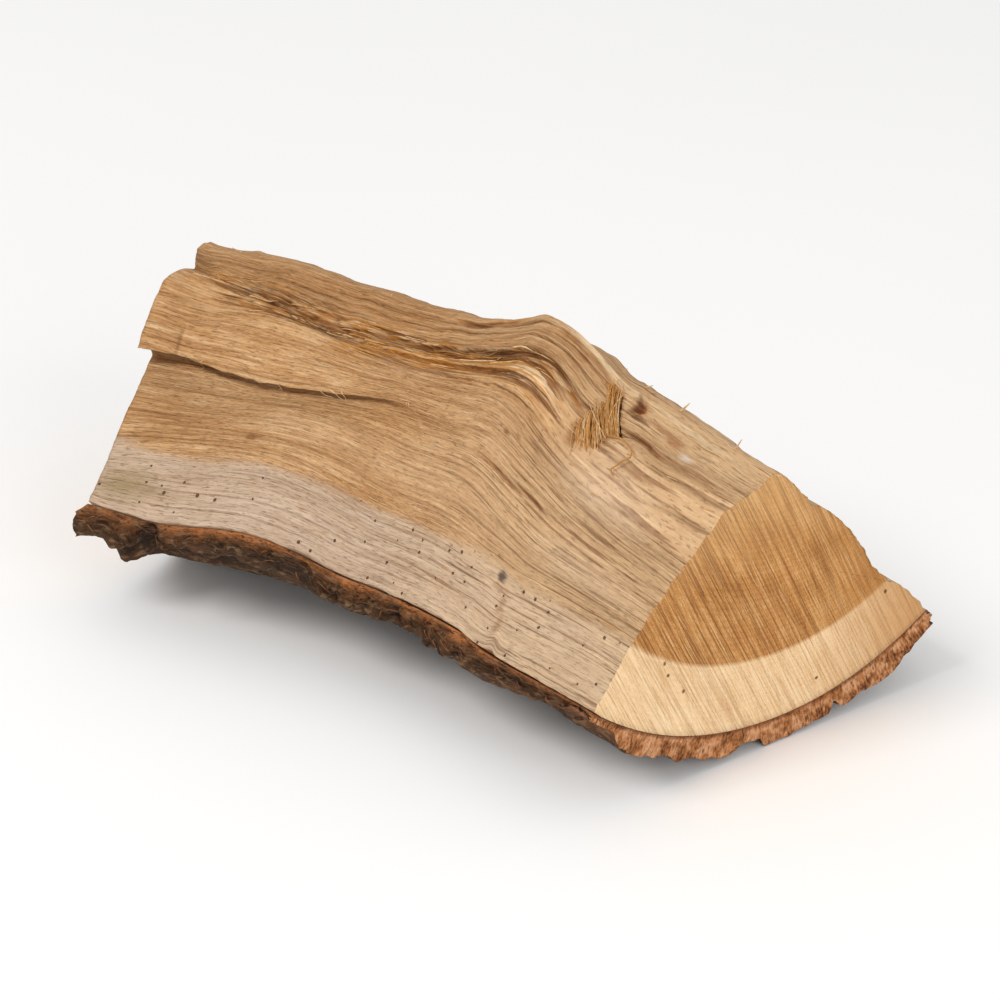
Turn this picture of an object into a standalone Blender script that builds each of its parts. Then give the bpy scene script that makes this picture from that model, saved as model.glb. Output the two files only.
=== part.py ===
"""A split log: a wedge of an oak round with its bark still on, lying on the bark with its ridge up.

Two things make it up. The wood is the wedge: two torn split faces that meet in a ridge, two sawn ends, and
the rounded side that grew under the bark. The bark is the sheet that covers that rounded side.

X runs along the grain, from the far sawn end to the near one. Y points away from the front split face and Z
points up. A station is a place along the log, from 0 at the far end to 1 at the near end. Each cross-section
is drawn square to the grain, in two sizes: across, which is positive away from the front face, and height.
The origin is on the ground, under the middle of the log's box. All sizes are in metres.
"""

import math

import bmesh
import bpy
import numpy as np

# Along the log.
LENGTH = 0.250
BEND = math.radians(12.0)  # each sawn end is turned this far from the X axis
BEND_STARTS, BEND_ENDS = 0.25, 0.85
MIDDLE = (0.0005, 0.0047)  # plan place of the origin, from the middle of the line between the ridge's ends
STATIONS = 41
STEPS_BETWEEN = 20  # small steps that the grain line takes from each station to the next

# The tree that the wedge was split from: its centre line and its size under the bark.
PITH_ACROSS, PITH_HEIGHT = 0.0054, 0.1303
TREE_RADIUS = 0.1210
CORNER_EASE = 0.3  # the share of the barked side over which its radius eases from a corner's to the tree's

# The wedge's corners, as (station, size) pairs joined by smooth steps.
RIDGE_WIDTH = 0.0110
RIDGE_IN_FRONT, RIDGE_BEHIND = 0.4, 0.6  # the shares of the ridge's width either side of its middle line
RIDGE_DROP = ((0.0, 0.0030), (0.6, 0.0030), (0.75, 0.0050), (1.0, 0.0050))  # from front edge to back edge
RIDGE_HEIGHT = ((0.0, 0.1070), (0.15, 0.1080), (0.35, 0.1040), (0.75, 0.1030), (1.0, 0.0990))
FRONT_CORNER_ACROSS = ((0.0, -0.0770), (0.08, -0.0735), (1.0, -0.0720))
FRONT_CORNER_HEIGHT = (
    (0.0, 0.0410), (0.08, 0.0380), (0.25, 0.0435), (0.45, 0.0375),
    (0.70, 0.0365), (0.77, 0.0345), (1.0, 0.0382),
)
BACK_CORNER_ACROSS = ((0.0, 0.0640), (0.5, 0.0690), (1.0, 0.0678))
BACK_CORNER_HEIGHT = ((0.0, 0.0300), (0.5, 0.0275), (1.0, 0.0272))

# The knot near the middle lifts the ridge, and a hollow was torn out beside it.
KNOT_STATION, KNOT_SPREAD = 0.590, 0.095
KNOT_RISE, KNOT_SHIFT = 0.0112, 0.0030
KNOT_RISE_BEHIND = 0.25  # the share of the rise that the ridge's back edge takes
HOLLOW_STATION, HOLLOW_SPREAD = 0.74, 0.055
HOLLOW_PLACE, HOLLOW_WIDTH = 0.15, 0.08
HOLLOW_DEPTH = 0.0045

# The front split face. A place on it runs from 0 at the ridge to 1 at the front corner.
CROWN = ((0.0, 0.0000), (0.5, 0.0040), (1.0, 0.0056))  # how far the face swells between its edges
SWELL_RISES, SWELL_FALLS = 0.20, 0.35  # the shares of the face over which it does
SHEET = ((0.0, 0.0120), (0.07, 0.0058), (0.27, 0.0032), (0.47, 0.0), (1.0, 0.0))  # left by a second split
SHEET_RISES = 0.16
LEDGE_PLACE = ((0.0, 0.445), (0.1, 0.430), (0.19, 0.450), (0.3, 0.415), (0.45, 0.370), (1.0, 0.370))
LEDGE_SLOPE = 0.015  # the share of the face that the step down from the sheet takes up
LEDGE_EDGE = 1e-6  # the sheet's last point lies this much above the ledge, to be on the sheet
ABOVE_LEDGE = 0.05  # and the one before it this much
GROOVE = ((0.0, 0.0045), (0.3, 0.0035), (0.68, 0.0030), (0.75, 0.0), (1.0, 0.0))
GROOVE_PLACE = ((0.0, 0.060), (0.1, 0.105), (0.22, 0.195), (0.5, 0.150), (0.7, 0.190), (1.0, 0.190))
GROOVE_WIDTH = 0.050
RIDGE_UNCUT = 0.03  # the share of the face by the ridge over which the groove and the hollow run out

# The back split face.
BACK_WAVE = 0.0022
WAVES_DOWN, WAVES_ALONG = 9.0, 5.0  # radians from edge to edge, and from end to end

# The bark.
GAP = 0.0003  # left between the bark and the wood, so that the two solids never touch
BARK_THICKNESS = ((0.0, 0.0095), (0.12, 0.0095), (0.45, 0.0105), (0.85, 0.0120), (1.0, 0.0085))
BARK_AT_FRONT = ((0.0, 1.0), (0.12, 0.95), (0.30, 1.12), (0.70, 1.12), (0.90, 0.80), (1.0, 0.58))
BARK_FRONT_REACH = 0.18  # the share of the way round that the front's own thickness reaches
BARK_LUMPS = 0.0010
LUMPS_ALONG, LUMPS_ROUND = 46.0, 22.0  # radians from end to end, and round the bark
BEND_ALONG, WAVE_OF_BEND_ALONG = 2.0, 15.0
BEND_ROUND, WAVE_OF_BEND_ROUND = 1.5, 19.0

# Finishes: linear colour and roughness.
WOOD_FINISH = (0.58, 0.37, 0.18), 0.75
BARK_FINISH = (0.16, 0.07, 0.035), 0.90
SHARP_ANGLE = math.radians(35.0)

# Places of the section's points, as shares of each side.
FRONT_PLACES = (0.0, 0.03, 0.07, 0.11, 0.15, 0.19, 0.24, 0.31)
BELOW_LEDGE = (0.12, 0.30, 0.50, 0.70, 0.86)
BACK_PLACES = (0.0, 0.12, 0.24, 0.36, 0.48, 0.60, 0.72, 0.86)
ROUND_PLACES = np.linspace(0.0, 1.0, 19)


def smooth_step(amount):
    """Goes from 0 to 1 with level ends: 3 t squared less 2 t cubed."""
    held = np.clip(amount, 0.0, 1.0)
    return held * held * (3.0 - 2.0 * held)


def along(pairs, station):
    """The size at a station, with a smooth step from each pair to the next."""
    size = pairs[0][1]
    for (start, low), (end, high) in zip(pairs[:-1], pairs[1:]):
        size = size + (high - low) * smooth_step((station - start) / (end - start))
    return size


def hump(place, centre, spread):
    """A rounded hump of height 1 at its centre."""
    return math.exp(-(((place - centre) / spread) ** 2))


def heading(station):
    """The angle of the grain from the X axis, from one end's turn through nothing to the other's."""
    return BEND * (1.0 - 2.0 * smooth_step((station - BEND_STARTS) / (BEND_ENDS - BEND_STARTS)))


def grain_line():
    """Plan places and headings of the stations: small steps along the heading, summed."""
    fine = np.linspace(0.0, 1.0, STEPS_BETWEEN * (STATIONS - 1) + 1)
    middles = (fine[1:] + fine[:-1]) / 2.0
    step = LENGTH / (len(fine) - 1)
    x = np.concatenate([[0.0], np.cumsum(np.cos(heading(middles)) * step)])
    y = np.concatenate([[0.0], np.cumsum(np.sin(heading(middles)) * step)])
    x -= (x[0] + x[-1]) / 2.0 + MIDDLE[0]
    y -= (y[0] + y[-1]) / 2.0 + MIDDLE[1]
    at_stations = slice(None, None, STEPS_BETWEEN)
    return x[at_stations], y[at_stations], heading(fine[at_stations]), fine[at_stations]


def knot_lift(station):
    return hump(station, KNOT_STATION, KNOT_SPREAD)


def ridge_front(station):
    """The ridge's front edge, which the knot lifts and pushes back."""
    lift = knot_lift(station)
    height = along(RIDGE_HEIGHT, station) + KNOT_RISE * lift
    return np.array([KNOT_SHIFT * lift - RIDGE_IN_FRONT * RIDGE_WIDTH, height])


def ridge_back(station):
    """The ridge's back edge, a little lower, which takes less of the knot's rise."""
    lift = knot_lift(station)
    height = along(RIDGE_HEIGHT, station) + KNOT_RISE * KNOT_RISE_BEHIND * lift - along(RIDGE_DROP, station)
    return np.array([KNOT_SHIFT * lift + RIDGE_BEHIND * RIDGE_WIDTH, height])


def front_corner(station):
    return np.array([along(FRONT_CORNER_ACROSS, station), along(FRONT_CORNER_HEIGHT, station)])


def back_corner(station):
    return np.array([along(BACK_CORNER_ACROSS, station), along(BACK_CORNER_HEIGHT, station)])


def front_relief(station, place):
    """How far the front face stands out of the flat plane between its two edges."""
    swell = along(CROWN, station) * smooth_step(place / SWELL_RISES)
    swell = swell * smooth_step((1.0 - place) / SWELL_FALLS)
    ledge = along(LEDGE_PLACE, station)
    sheet = along(SHEET, station) * smooth_step(place / SHEET_RISES) * (place < ledge)
    groove = along(GROOVE, station) * hump(place, along(GROOVE_PLACE, station), GROOVE_WIDTH)
    hollow = hump(station, HOLLOW_STATION, HOLLOW_SPREAD) * hump(place, HOLLOW_PLACE, HOLLOW_WIDTH)
    hollow = HOLLOW_DEPTH * hollow
    return swell + sheet - (groove + hollow) * smooth_step(place / RIDGE_UNCUT)


def front_side(station):
    """Points down the front face, from the ridge's front edge to the front corner."""
    ridge = ridge_front(station)
    corner = front_corner(station)
    down = (corner - ridge) / np.linalg.norm(corner - ridge)
    out = np.array([down[1], -down[0]])
    ledge = along(LEDGE_PLACE, station)
    places = [*FRONT_PLACES, ledge - ABOVE_LEDGE, ledge - LEDGE_EDGE, ledge + LEDGE_SLOPE]
    places += [ledge + LEDGE_SLOPE + share * (1.0 - ledge - LEDGE_SLOPE) for share in BELOW_LEDGE]
    return [ridge + (corner - ridge) * place + out * front_relief(station, place) for place in places]


def back_side(station):
    """Points down the back face, from the ridge's back edge to just above the back corner."""
    ridge = ridge_back(station)
    corner = back_corner(station)
    down = (corner - ridge) / np.linalg.norm(corner - ridge)
    out = np.array([-down[1], down[0]])
    points = []
    for place in BACK_PLACES:
        wave = math.sin(WAVES_DOWN * place + WAVES_ALONG * station) * math.sin(math.pi * place) * BACK_WAVE
        points.append(ridge + (corner - ridge) * place + out * wave)
    return points


def round_side(station, extra=0.0):
    """Points round the side under the bark, from the front corner to the back one.

    They lie on a circle about the pith whose radius eases from each corner's own distance to the tree's.
    extra is added to the radius: one number, or one for each point.
    """
    pith = np.array([PITH_ACROSS, PITH_HEIGHT])
    front, back = front_corner(station) - pith, back_corner(station) - pith
    from_angle, to_angle = math.atan2(front[1], front[0]), math.atan2(back[1], back[0])
    angles = from_angle + (to_angle - from_angle) * ROUND_PLACES
    by_front = smooth_step(1.0 - ROUND_PLACES / CORNER_EASE)
    by_back = smooth_step(1.0 - (1.0 - ROUND_PLACES) / CORNER_EASE)
    radius = TREE_RADIUS + (np.linalg.norm(front) - TREE_RADIUS) * by_front
    radius = radius + (np.linalg.norm(back) - TREE_RADIUS) * by_back + extra
    return list(pith + np.stack([np.cos(angles), np.sin(angles)], axis=1) * radius[:, None])


def wood_section(station):
    """The wedge's outline: down the front, round the barked side, and up the back to the ridge."""
    return front_side(station) + round_side(station) + back_side(station)[::-1]


def bark_thickness(station):
    """The bark's thickness round the section: its mean, with its own share at the front, and low lumps.

    The lumps are waves along the log times waves round it, and each kind is bent by the other.
    """
    by_front = smooth_step(1.0 - ROUND_PLACES / BARK_FRONT_REACH)
    at_front = 1.0 + (along(BARK_AT_FRONT, station) - 1.0) * by_front
    bend_along = BEND_ALONG * np.sin(WAVE_OF_BEND_ALONG * ROUND_PLACES)
    bend_round = BEND_ROUND * math.sin(WAVE_OF_BEND_ROUND * station)
    lumps = np.sin(LUMPS_ALONG * station + bend_along) * np.cos(LUMPS_ROUND * ROUND_PLACES + bend_round)
    return along(BARK_THICKNESS, ROUND_PLACES) * at_front + BARK_LUMPS * lumps


def bark_section(station):
    """The bark's outline: round its inner side, and back round its outer one, pressed level on the ground."""
    outer = round_side(station, GAP + bark_thickness(station))
    grounded = [np.array([across, max(height, 0.0)]) for across, height in outer]
    return round_side(station, GAP) + grounded[::-1]


def loft(name, section, material):
    """A closed body through one section for each station, capped with flat sawn ends."""
    x, y, headings, stations = grain_line()
    mesh = bmesh.new()
    rings = []
    for centre_x, centre_y, angle, station in zip(x, y, headings, stations):
        side = (-math.sin(angle), math.cos(angle))
        points = section(station)
        rings.append([mesh.verts.new((centre_x + side[0] * a, centre_y + side[1] * a, z)) for a, z in points])
    for one, other in zip(rings[:-1], rings[1:]):
        for k in range(len(one)):
            mesh.faces.new((one[k - 1], one[k], other[k], other[k - 1]))
    mesh.faces.new(rings[0])
    mesh.faces.new(rings[-1])
    bmesh.ops.recalc_face_normals(mesh, faces=mesh.faces)
    bmesh.ops.triangulate(mesh, faces=mesh.faces)
    data = bpy.data.meshes.new(name)
    mesh.to_mesh(data)
    mesh.free()
    data.shade_smooth()
    data.set_sharp_from_angle(angle=SHARP_ANGLE)
    data.materials.append(material)
    body = bpy.data.objects.new(name, data)
    bpy.context.scene.collection.objects.link(body)
    return body


def principled(name, colour, roughness):
    material = bpy.data.materials.new(name)
    material.use_nodes = True
    shader = material.node_tree.nodes["Principled BSDF"]
    shader.inputs["Base Color"].default_value = (*colour, 1.0)
    shader.inputs["Roughness"].default_value = roughness
    shader.inputs["Metallic"].default_value = 0.0
    return material


def make_wood():
    """The wedge of wood, pale tan oak."""
    return loft("wood", wood_section, principled("wood", *WOOD_FINISH))


def make_bark():
    """The sheet of red-brown bark on the rounded side."""
    return loft("bark", bark_section, principled("bark", *BARK_FINISH))


def clear_scene():
    for thing in list(bpy.data.objects):
        bpy.data.objects.remove(thing)


clear_scene()
make_wood()
make_bark()
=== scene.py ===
"""A split log: a wedge of oak with its bark, its torn grain, its knot and its loose fibres.

The file is laid out as an add-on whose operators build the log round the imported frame. Run as a script, it
builds everything once. X runs along the grain, from the far sawn end to the near one, Y points away from the
front split face and Z points up. A station is a place along the log, from 0 at the far end to 1 at the near
end. A cross-section is drawn in two sizes: across, positive away from the front face, and height. All sizes
are in metres.
"""

import math

import bpy
import numpy as np
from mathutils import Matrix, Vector


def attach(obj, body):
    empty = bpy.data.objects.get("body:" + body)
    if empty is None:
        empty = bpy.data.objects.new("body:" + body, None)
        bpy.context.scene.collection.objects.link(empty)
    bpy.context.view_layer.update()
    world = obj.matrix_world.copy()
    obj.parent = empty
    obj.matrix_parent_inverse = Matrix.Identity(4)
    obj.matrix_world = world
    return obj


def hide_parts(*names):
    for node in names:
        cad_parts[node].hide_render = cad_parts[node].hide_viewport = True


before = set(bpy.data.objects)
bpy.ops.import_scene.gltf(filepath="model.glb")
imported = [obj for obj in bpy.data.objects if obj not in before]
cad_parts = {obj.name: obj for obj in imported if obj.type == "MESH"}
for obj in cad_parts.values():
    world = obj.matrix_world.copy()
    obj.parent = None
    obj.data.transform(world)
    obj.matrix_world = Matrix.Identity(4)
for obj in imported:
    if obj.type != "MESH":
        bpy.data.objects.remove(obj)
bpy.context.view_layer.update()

bl_info = {
    "name": "Split log",
    "version": (1, 0, 0),
    "blender": (4, 5, 0),
    "location": "3D View > Sidebar > Log",
    "description": "Builds a split oak log with torn faces, sawn ends and bark",
    "category": "Add Mesh",
}

MM = 0.001

# The log's plan, its tree and its corners, as (station, size) pairs joined by smooth steps.
BEND_STARTS, BEND_ENDS = 0.25, 0.85
MIDDLE = (0.0005, 0.0047)  # of the object, from halfway between the ends of its grain line
PITH = np.array([0.0054, 0.1303])
TREE_RADIUS = 0.121
RIDGE_DROP = ((0.0, 0.003), (0.6, 0.003), (0.75, 0.005), (1.0, 0.005))
RIDGE_HEIGHT = ((0.0, 0.107), (0.15, 0.108), (0.35, 0.104), (0.75, 0.103), (1.0, 0.099))
FRONT_CORNER_ACROSS = ((0.0, -0.077), (0.08, -0.0735), (1.0, -0.072))
FRONT_CORNER_HEIGHT = (
    (0.0, 0.041), (0.08, 0.038), (0.25, 0.0435), (0.45, 0.0375), (0.7, 0.0365), (0.77, 0.0345), (1.0, 0.0382),
)
BACK_CORNER_ACROSS = ((0.0, 0.064), (0.5, 0.069), (1.0, 0.0678))
BACK_CORNER_HEIGHT = ((0.0, 0.03), (0.5, 0.0275), (1.0, 0.0272))
KNOT_STATION, KNOT_SPREAD = 0.59, 0.095
KNOT_RISE, KNOT_SHIFT = 0.0112, 0.003
KNOT_RISE_BEHIND = 0.25  # the share of the rise that the ridge's back edge takes
CREST = ((0.0, 0.0015), (0.5, 0.0015), (0.6, -0.0015), (0.66, -0.001), (0.74, 0.0025), (1.0, 0.0025))
FACE_WIDTH = 0.097  # from the ridge down the front face to its corner
ROUND_GIRTH, RIM_GIRTH = 0.155, 0.01  # round the barked side, and through the bark, in the UV map
FACE_OUT = np.array([-0.62, 0.78])  # square to the front face

# The front split face. A place on it runs from 0 at the ridge to 1 at the front corner.
CROWN = ((0.0, 0.0), (0.5, 0.004), (1.0, 0.0056))
SHEET = ((0.0, 0.012), (0.07, 0.0058), (0.27, 0.0032), (0.47, 0.0), (1.0, 0.0))
LEDGE_PLACE = (
    (0.0, 0.445), (0.05, 0.42), (0.14, 0.44), (0.2, 0.452), (0.29, 0.418), (0.4, 0.365), (0.5, 0.39),
    (1.0, 0.52),
)
UNDERCUT, LEDGE_FOOT = 0.035, 0.0045

# The torn wood of both faces: count, seed and greatest height of the lips, then the steps, the shreds, the
# plate that the second split left beside the ridge, and the back face's wave.
FRONT_LIPS, BACK_LIPS = (150, 51, 0.75 * MM), (90, 83, 0.9 * MM)
STEP_PITCH, TERRACE_STEP, TORN_STEP = 2.8 * MM, 1.6 * MM, 1.0 * MM
SHRED_PITCH, SHRED_HEIGHT = 2.0 * MM, 1.9 * MM
PLATE_HEIGHT, BACK_WAVE = 1.5 * MM, 2.2 * MM

# Where lines of grain run down the front face: each line's place in undisturbed grain, then (station, place)
# pairs.
GRAIN_PATHS = (
    (0.0, ((0.0, 0.0), (1.0, 0.0))),
    (0.16, ((0.0, 0.06), (0.05, 0.095), (0.1, 0.118), (0.155, 0.145), (0.21, 0.168), (0.26, 0.177),
            (0.3, 0.166), (0.37, 0.152), (0.47, 0.138), (0.55, 0.15), (0.61, 0.136), (0.65, 0.146),
            (0.69, 0.16), (0.74, 0.152), (0.8, 0.146), (0.86, 0.156), (0.93, 0.145), (1.0, 0.138))),
    (0.25, ((0.0, 0.235), (0.1, 0.215), (0.18, 0.206), (0.24, 0.213), (0.3, 0.232), (0.42, 0.24),
            (0.47, 0.24), (0.52, 0.256), (0.59, 0.292), (0.64, 0.318), (0.7, 0.336), (0.77, 0.352),
            (0.9, 0.386), (1.0, 0.402))),
    (0.4, ((0.0, 0.445), (0.1, 0.432), (0.2, 0.452), (0.3, 0.412), (0.4, 0.366), (0.51, 0.398), (0.62, 0.44),
            (0.7, 0.456), (0.81, 0.487), (0.91, 0.51), (1.0, 0.525))),
    (0.56, ((0.0, 0.575), (0.18, 0.545), (0.32, 0.517), (0.48, 0.55), (0.7, 0.615), (1.0, 0.645))),
    (0.72, ((0.0, 0.76), (0.06, 0.715), (0.2, 0.695), (0.36, 0.705), (0.48, 0.735), (0.6, 0.757),
            (0.85, 0.738), (1.0, 0.74))),
    (1.0, ((0.0, 1.0), (1.0, 1.0))),
)

# The torn grooves of the front face, as (station, place), (station, depth) and (station, width) pairs.
MAIN_GROOVE = (
    GRAIN_PATHS[1][1],
    ((0.0, 0.005), (0.06, 0.003), (0.16, 0.0044), (0.28, 0.0036), (0.4, 0.0028), (0.56, 0.0026),
     (0.67, 0.0034), (0.72, 0.0), (1.0, 0.0)),
    ((0.0, 0.026), (0.1, 0.018), (0.2, 0.022), (0.34, 0.013), (0.6, 0.011), (1.0, 0.012)),
)
CREST_GROOVE = (
    ((0.0, 0.002), (0.57, 0.002), (0.595, 0.018), (0.63, 0.046), (0.66, 0.044), (0.7, 0.047), (1.0, 0.05)),
    ((0.0, 0.0), (0.56, 0.0), (0.62, 0.0026), (0.68, 0.0024), (0.73, 0.0), (1.0, 0.0)),
    ((0.0, 0.014), (1.0, 0.014)),
)
RIDGE_NOTCH = (
    ((0.0, 0.02), (0.42, 0.018), (0.45, 0.013), (0.52, 0.011), (0.55, 0.004), (1.0, 0.0)),
    ((0.0, 0.0), (0.41, 0.0), (0.44, 0.003), (0.51, 0.0024), (0.545, 0.0), (1.0, 0.0)),
    ((0.0, 0.01), (1.0, 0.01)),
)
KNOT_CRACK = (
    ((0.0, 0.03), (0.7, 0.03), (0.713, 0.045), (0.735, 0.09), (0.75, 0.128), (0.763, 0.155), (0.785, 0.14),
     (0.83, 0.138), (0.868, 0.153), (0.89, 0.15), (0.93, 0.145), (1.0, 0.138)),
    ((0.0, 0.0), (0.7, 0.0), (0.735, 0.0024), (0.765, 0.004), (0.8, 0.003), (0.87, 0.0016), (0.93, 0.0013),
     (1.0, 0.0006)),
    ((0.0, 0.01), (0.74, 0.014), (0.8, 0.011), (1.0, 0.01)),
)
SECOND_SPLIT = (
    ((0.0, 0.2), (0.12, 0.15), (0.2, 0.136), (0.27, 0.142), (0.37, 0.12), (0.46, 0.118), (1.0, 0.09)),
    ((0.0, 0.0), (0.09, 0.0), (0.16, 0.0022), (0.3, 0.0018), (0.48, 0.0), (1.0, 0.0)),
    ((0.0, 0.01), (1.0, 0.009)),
)
FACE_STEP = (
    ((0.0, 0.49), (0.593, 0.5), (0.635, 0.508), (0.69, 0.503), (0.755, 0.505), (1.0, 0.51)),
    ((0.0, 0.0), (0.57, 0.0), (0.62, 0.0019), (0.72, 0.0014), (0.78, 0.0), (1.0, 0.0)),
    ((0.0, 0.006), (1.0, 0.006)),
)
GROOVES = (MAIN_GROOVE, CREST_GROOVE, RIDGE_NOTCH, KNOT_CRACK, SECOND_SPLIT, FACE_STEP)

# The torn knot's pocket, the slit at its left and the pit at its right: (station, place), sizes and depth.
KNOT_POCKET = ((0.735, 0.172), (0.028, 0.066), 0.004)
KNOT_SLIT = ((0.704, 0.252), (0.006, 0.03), 0.003)
PIT = ((0.758, 0.046), (0.01, 0.024), 0.0036)

# Where the front face is torn: steps along the main groove, terraces under the ridge, shreds, and the plate.
# A span is its start, how far it eases in, its end and how far it eases out. A line is its middle and spread.
# The shreds are a spot: (station, grain), sizes and height.
TORN_SPAN, TORN_LINE = (0.0, 0.12, 0.7, 0.1), (0.175, 0.058)
TERRACE_SPAN, TERRACE_GRAIN = (0.04, 0.08, 0.72, 0.08), (0.0, 0.03, 0.29, 0.05)
SHRED_ZONE = ((0.22, 0.155), (0.13, 0.06), 1.0)
PLATE_SPAN = (0.1, 0.08, 0.66, 0.1)

# The fan of fibres over the pocket, as (station, place) of the ends of its strands from left to right.
FAN_TOPS = ((0.699, 0.176), (0.701, 0.14), (0.697, 0.106), (0.691, 0.072), (0.69, 0.036), (0.712, 0.03))
FAN_BOTTOMS = ((0.714, 0.264), (0.729, 0.268), (0.743, 0.245), (0.753, 0.22), (0.765, 0.192), (0.765, 0.156))

# Its layers: count, radius, spread of the ends, least and most lift, and how deep the ends lie. Sizes are in
# millimetres, but for the spread, which is a share of the face.
FAN_LAYERS = (
    (36, 0.5, 0.008, -0.2, 0.8, 1.5),
    (64, 0.24, 0.014, 0.1, 1.3, 1.2),
    (18, 0.14, 0.03, 0.3, 2.2, 0.9),
)

# How many splinters lie in the main groove, at the ledge and on the face, and how many fibres hang off the
# bark's rim.
GROOVE_SPLINTERS, LEDGE_SPLINTERS, FACE_SPLINTERS, BAST_FIBRES = 46, 8, 70, 110

# The curled fibre below the knot, as (station, place), and the splinters that stand out of the ridge:
# station, reach of the tip, and radius. Both are in millimetres, and a root lies ROOT_DEPTH behind the ridge.
CURL = (
    (0.762, 0.176), (0.795, 0.165), (0.82, 0.18), (0.828, 0.2), (0.815, 0.232), (0.802, 0.268),
    (0.809, 0.282),
)
ROOT_DEPTH, CURL_STEPS = 0.004, 24
RIDGE_SPLINTERS = (
    (0.815, (5.0, 2.5, 5.5), 0.42), (0.745, (4.5, 2.0, 3.0), 0.28), (0.925, (4.0, 2.0, 5.6), 0.34),
    (0.93, (2.0, 0.5, 3.6), 0.18), (0.997, (4.5, 2.5, 1.6), 0.32), (0.06, (-1.0, 0.0, 3.0), 0.2),
    (0.095, (1.5, 0.0, 2.2), 0.16), (0.012, (-0.5, 0.0, 2.8), 0.22), (0.76, (2.0, 3.0, 1.5), 0.18),
    (0.3, (3.0, 0.5, 1.2), 0.15), (0.7, (2.2, 2.8, 1.6), 0.2),
)

# The bark.
GAP = 0.0003  # between the bark and the wood
THINNEST_BARK = 0.0025
BARK_THICKNESS = ((0.0, 0.0095), (0.12, 0.0095), (0.45, 0.0105), (0.85, 0.012), (1.0, 0.0085))
BARK_AT_FRONT = ((0.0, 1.0), (0.12, 0.95), (0.3, 1.12), (0.7, 1.12), (0.9, 0.8), (1.0, 0.58))

# The torn lump at the bark's far end, in two parts, and the gap beside it: (station, share round), sizes and
# height.
BARK_LUMPS = (((0.0, 0.0), (0.022, 0.06), 0.003), ((0.055, 0.02), (0.024, 0.09), 0.0062))
BARK_GAP = ((0.1, 0.0), (0.012, 0.1), 0.0042)

# Chips off the bark at the near end: from and to, as shares of the way round, and depth.
BARK_CHIPS = (
    (-0.1, 0.115, 0.0028), (0.215, 0.285, 0.0016), (0.345, 0.365, 0.0008), (0.425, 0.53, 0.0034),
    (0.59, 0.61, 0.0012), (0.692, 0.728, 0.0042), (0.842, 0.876, 0.0032), (0.93, 0.95, 0.0014),
)

# Marks on the front face: station, place, half length and half width in millimetres, strength and colour.
FACE_MARKS = (
    (0.735, 0.767, 2.6, 2.4, 0.9, "#54463c"), (0.742, 0.8, 4.0, 2.2, 0.45, "#8a5a35"),
    (0.757, 0.84, 2.2, 5.0, 0.45, "#8a5a35"), (0.768, 0.91, 2.0, 6.0, 0.5, "#8a5a35"),
    (0.198, 0.647, 2.6, 1.4, 0.85, "#7a4c26"), (0.195, 0.638, 9.0, 2.8, 0.4, "#9a6a3c"),
    (0.035, 0.897, 11.0, 8.5, 0.5, "#8c7647"), (0.06, 0.9, 18.0, 4.0, 0.35, "#8f7a52"),
    (0.608, 0.39, 2.2, 0.9, 0.75, "#6b4423"), (0.883, 0.098, 3.2, 1.6, 0.6, "#f4e9dd"),
    # The pale marks at place 0.01 are painted highlights along the lit edge of the ridge.
    (0.605, 0.01, 20.0, 1.0, 0.6, "#e6c397"), (0.68, 0.01, 26.0, 1.2, 0.6, "#ecd2ab"),
    (0.87, 0.01, 28.0, 1.2, 0.55, "#ecd2ab"), (0.54, 0.022, 11.0, 1.0, 0.65, "#7a4f2a"),
    (0.41, 0.19, 30.0, 2.2, 0.45, "#c07a2c"), (0.24, 0.165, 26.0, 3.0, 0.4, "#ab6820"),
    (0.465, 0.012, 10.0, 0.6, 0.7, "#6b4423"), (0.5, 0.13, 30.0, 0.7, 0.7, "#5f3a1c"),
    (0.155, 0.12, 12.0, 0.7, 0.6, "#6b4423"), (0.09, 0.028, 15.0, 0.6, 0.5, "#7a4f2a"),
    (0.655, 0.03, 13.0, 1.2, 0.5, "#8f6032"), (0.753, 0.04, 1.6, 4.6, 0.8, "#66371a"),
    (0.766, 0.048, 3.4, 4.0, 0.7, "#a85f2e"), (0.776, 0.074, 6.2, 1.3, 0.75, "#5c3214"),
    (0.82, 0.06, 13.0, 1.6, 0.6, "#8f5a2c"), (0.852, 0.074, 4.5, 2.2, 0.6, "#a0622c"),
    (0.012, 0.03, 6.0, 6.0, 0.45, "#7c4f25"), (0.322, 0.143, 5.0, 1.6, 0.4, "#e8c596"),
    (0.15, 0.575, 40.0, 5.0, 0.3, "#94693f"), (0.64, 0.507, 14.0, 0.9, 0.65, "#7a4f2a"),
    (0.715, 0.504, 11.0, 0.7, 0.55, "#7a4f2a"), (0.3, 0.633, 30.0, 0.8, 0.55, "#97683a"),
    (0.44, 0.668, 26.0, 0.8, 0.5, "#97683a"), (0.23, 0.648, 30.0, 0.6, 0.5, "#a06e3c"),
    (0.047, 0.37, 0.8, 4.4, 0.6, "#7a4f2a"), (0.07, 0.225, 10.0, 1.2, 0.45, "#dfb98c"),
    (0.06, 0.5, 20.0, 6.0, 0.35, "#8a6440"), (0.5, 0.6, 70.0, 10.0, 0.25, "#e6c096"),
    (0.86, 0.62, 30.0, 9.0, 0.25, "#e9cfb2"), (0.815, 0.375, 30.0, 8.0, 0.35, "#ecd0b4"),
    (0.88, 0.135, 30.0, 5.0, 0.4, "#8f6236"), (0.93, 0.545, 8.0, 0.6, 0.75, "#5f3a1c"),
    (0.87, 0.561, 9.0, 0.6, 0.7, "#6b4423"), (0.811, 0.514, 5.0, 0.5, 0.65, "#7a4f2a"),
    (0.87, 0.673, 30.0, 0.7, 0.6, "#8a5a35"), (0.8, 0.545, 22.0, 0.6, 0.55, "#8a5a35"),
    (0.842, 0.237, 9.0, 0.6, 0.6, "#8a5a35"), (0.895, 0.738, 14.0, 0.6, 0.6, "#8a5a35"),
)

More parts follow.
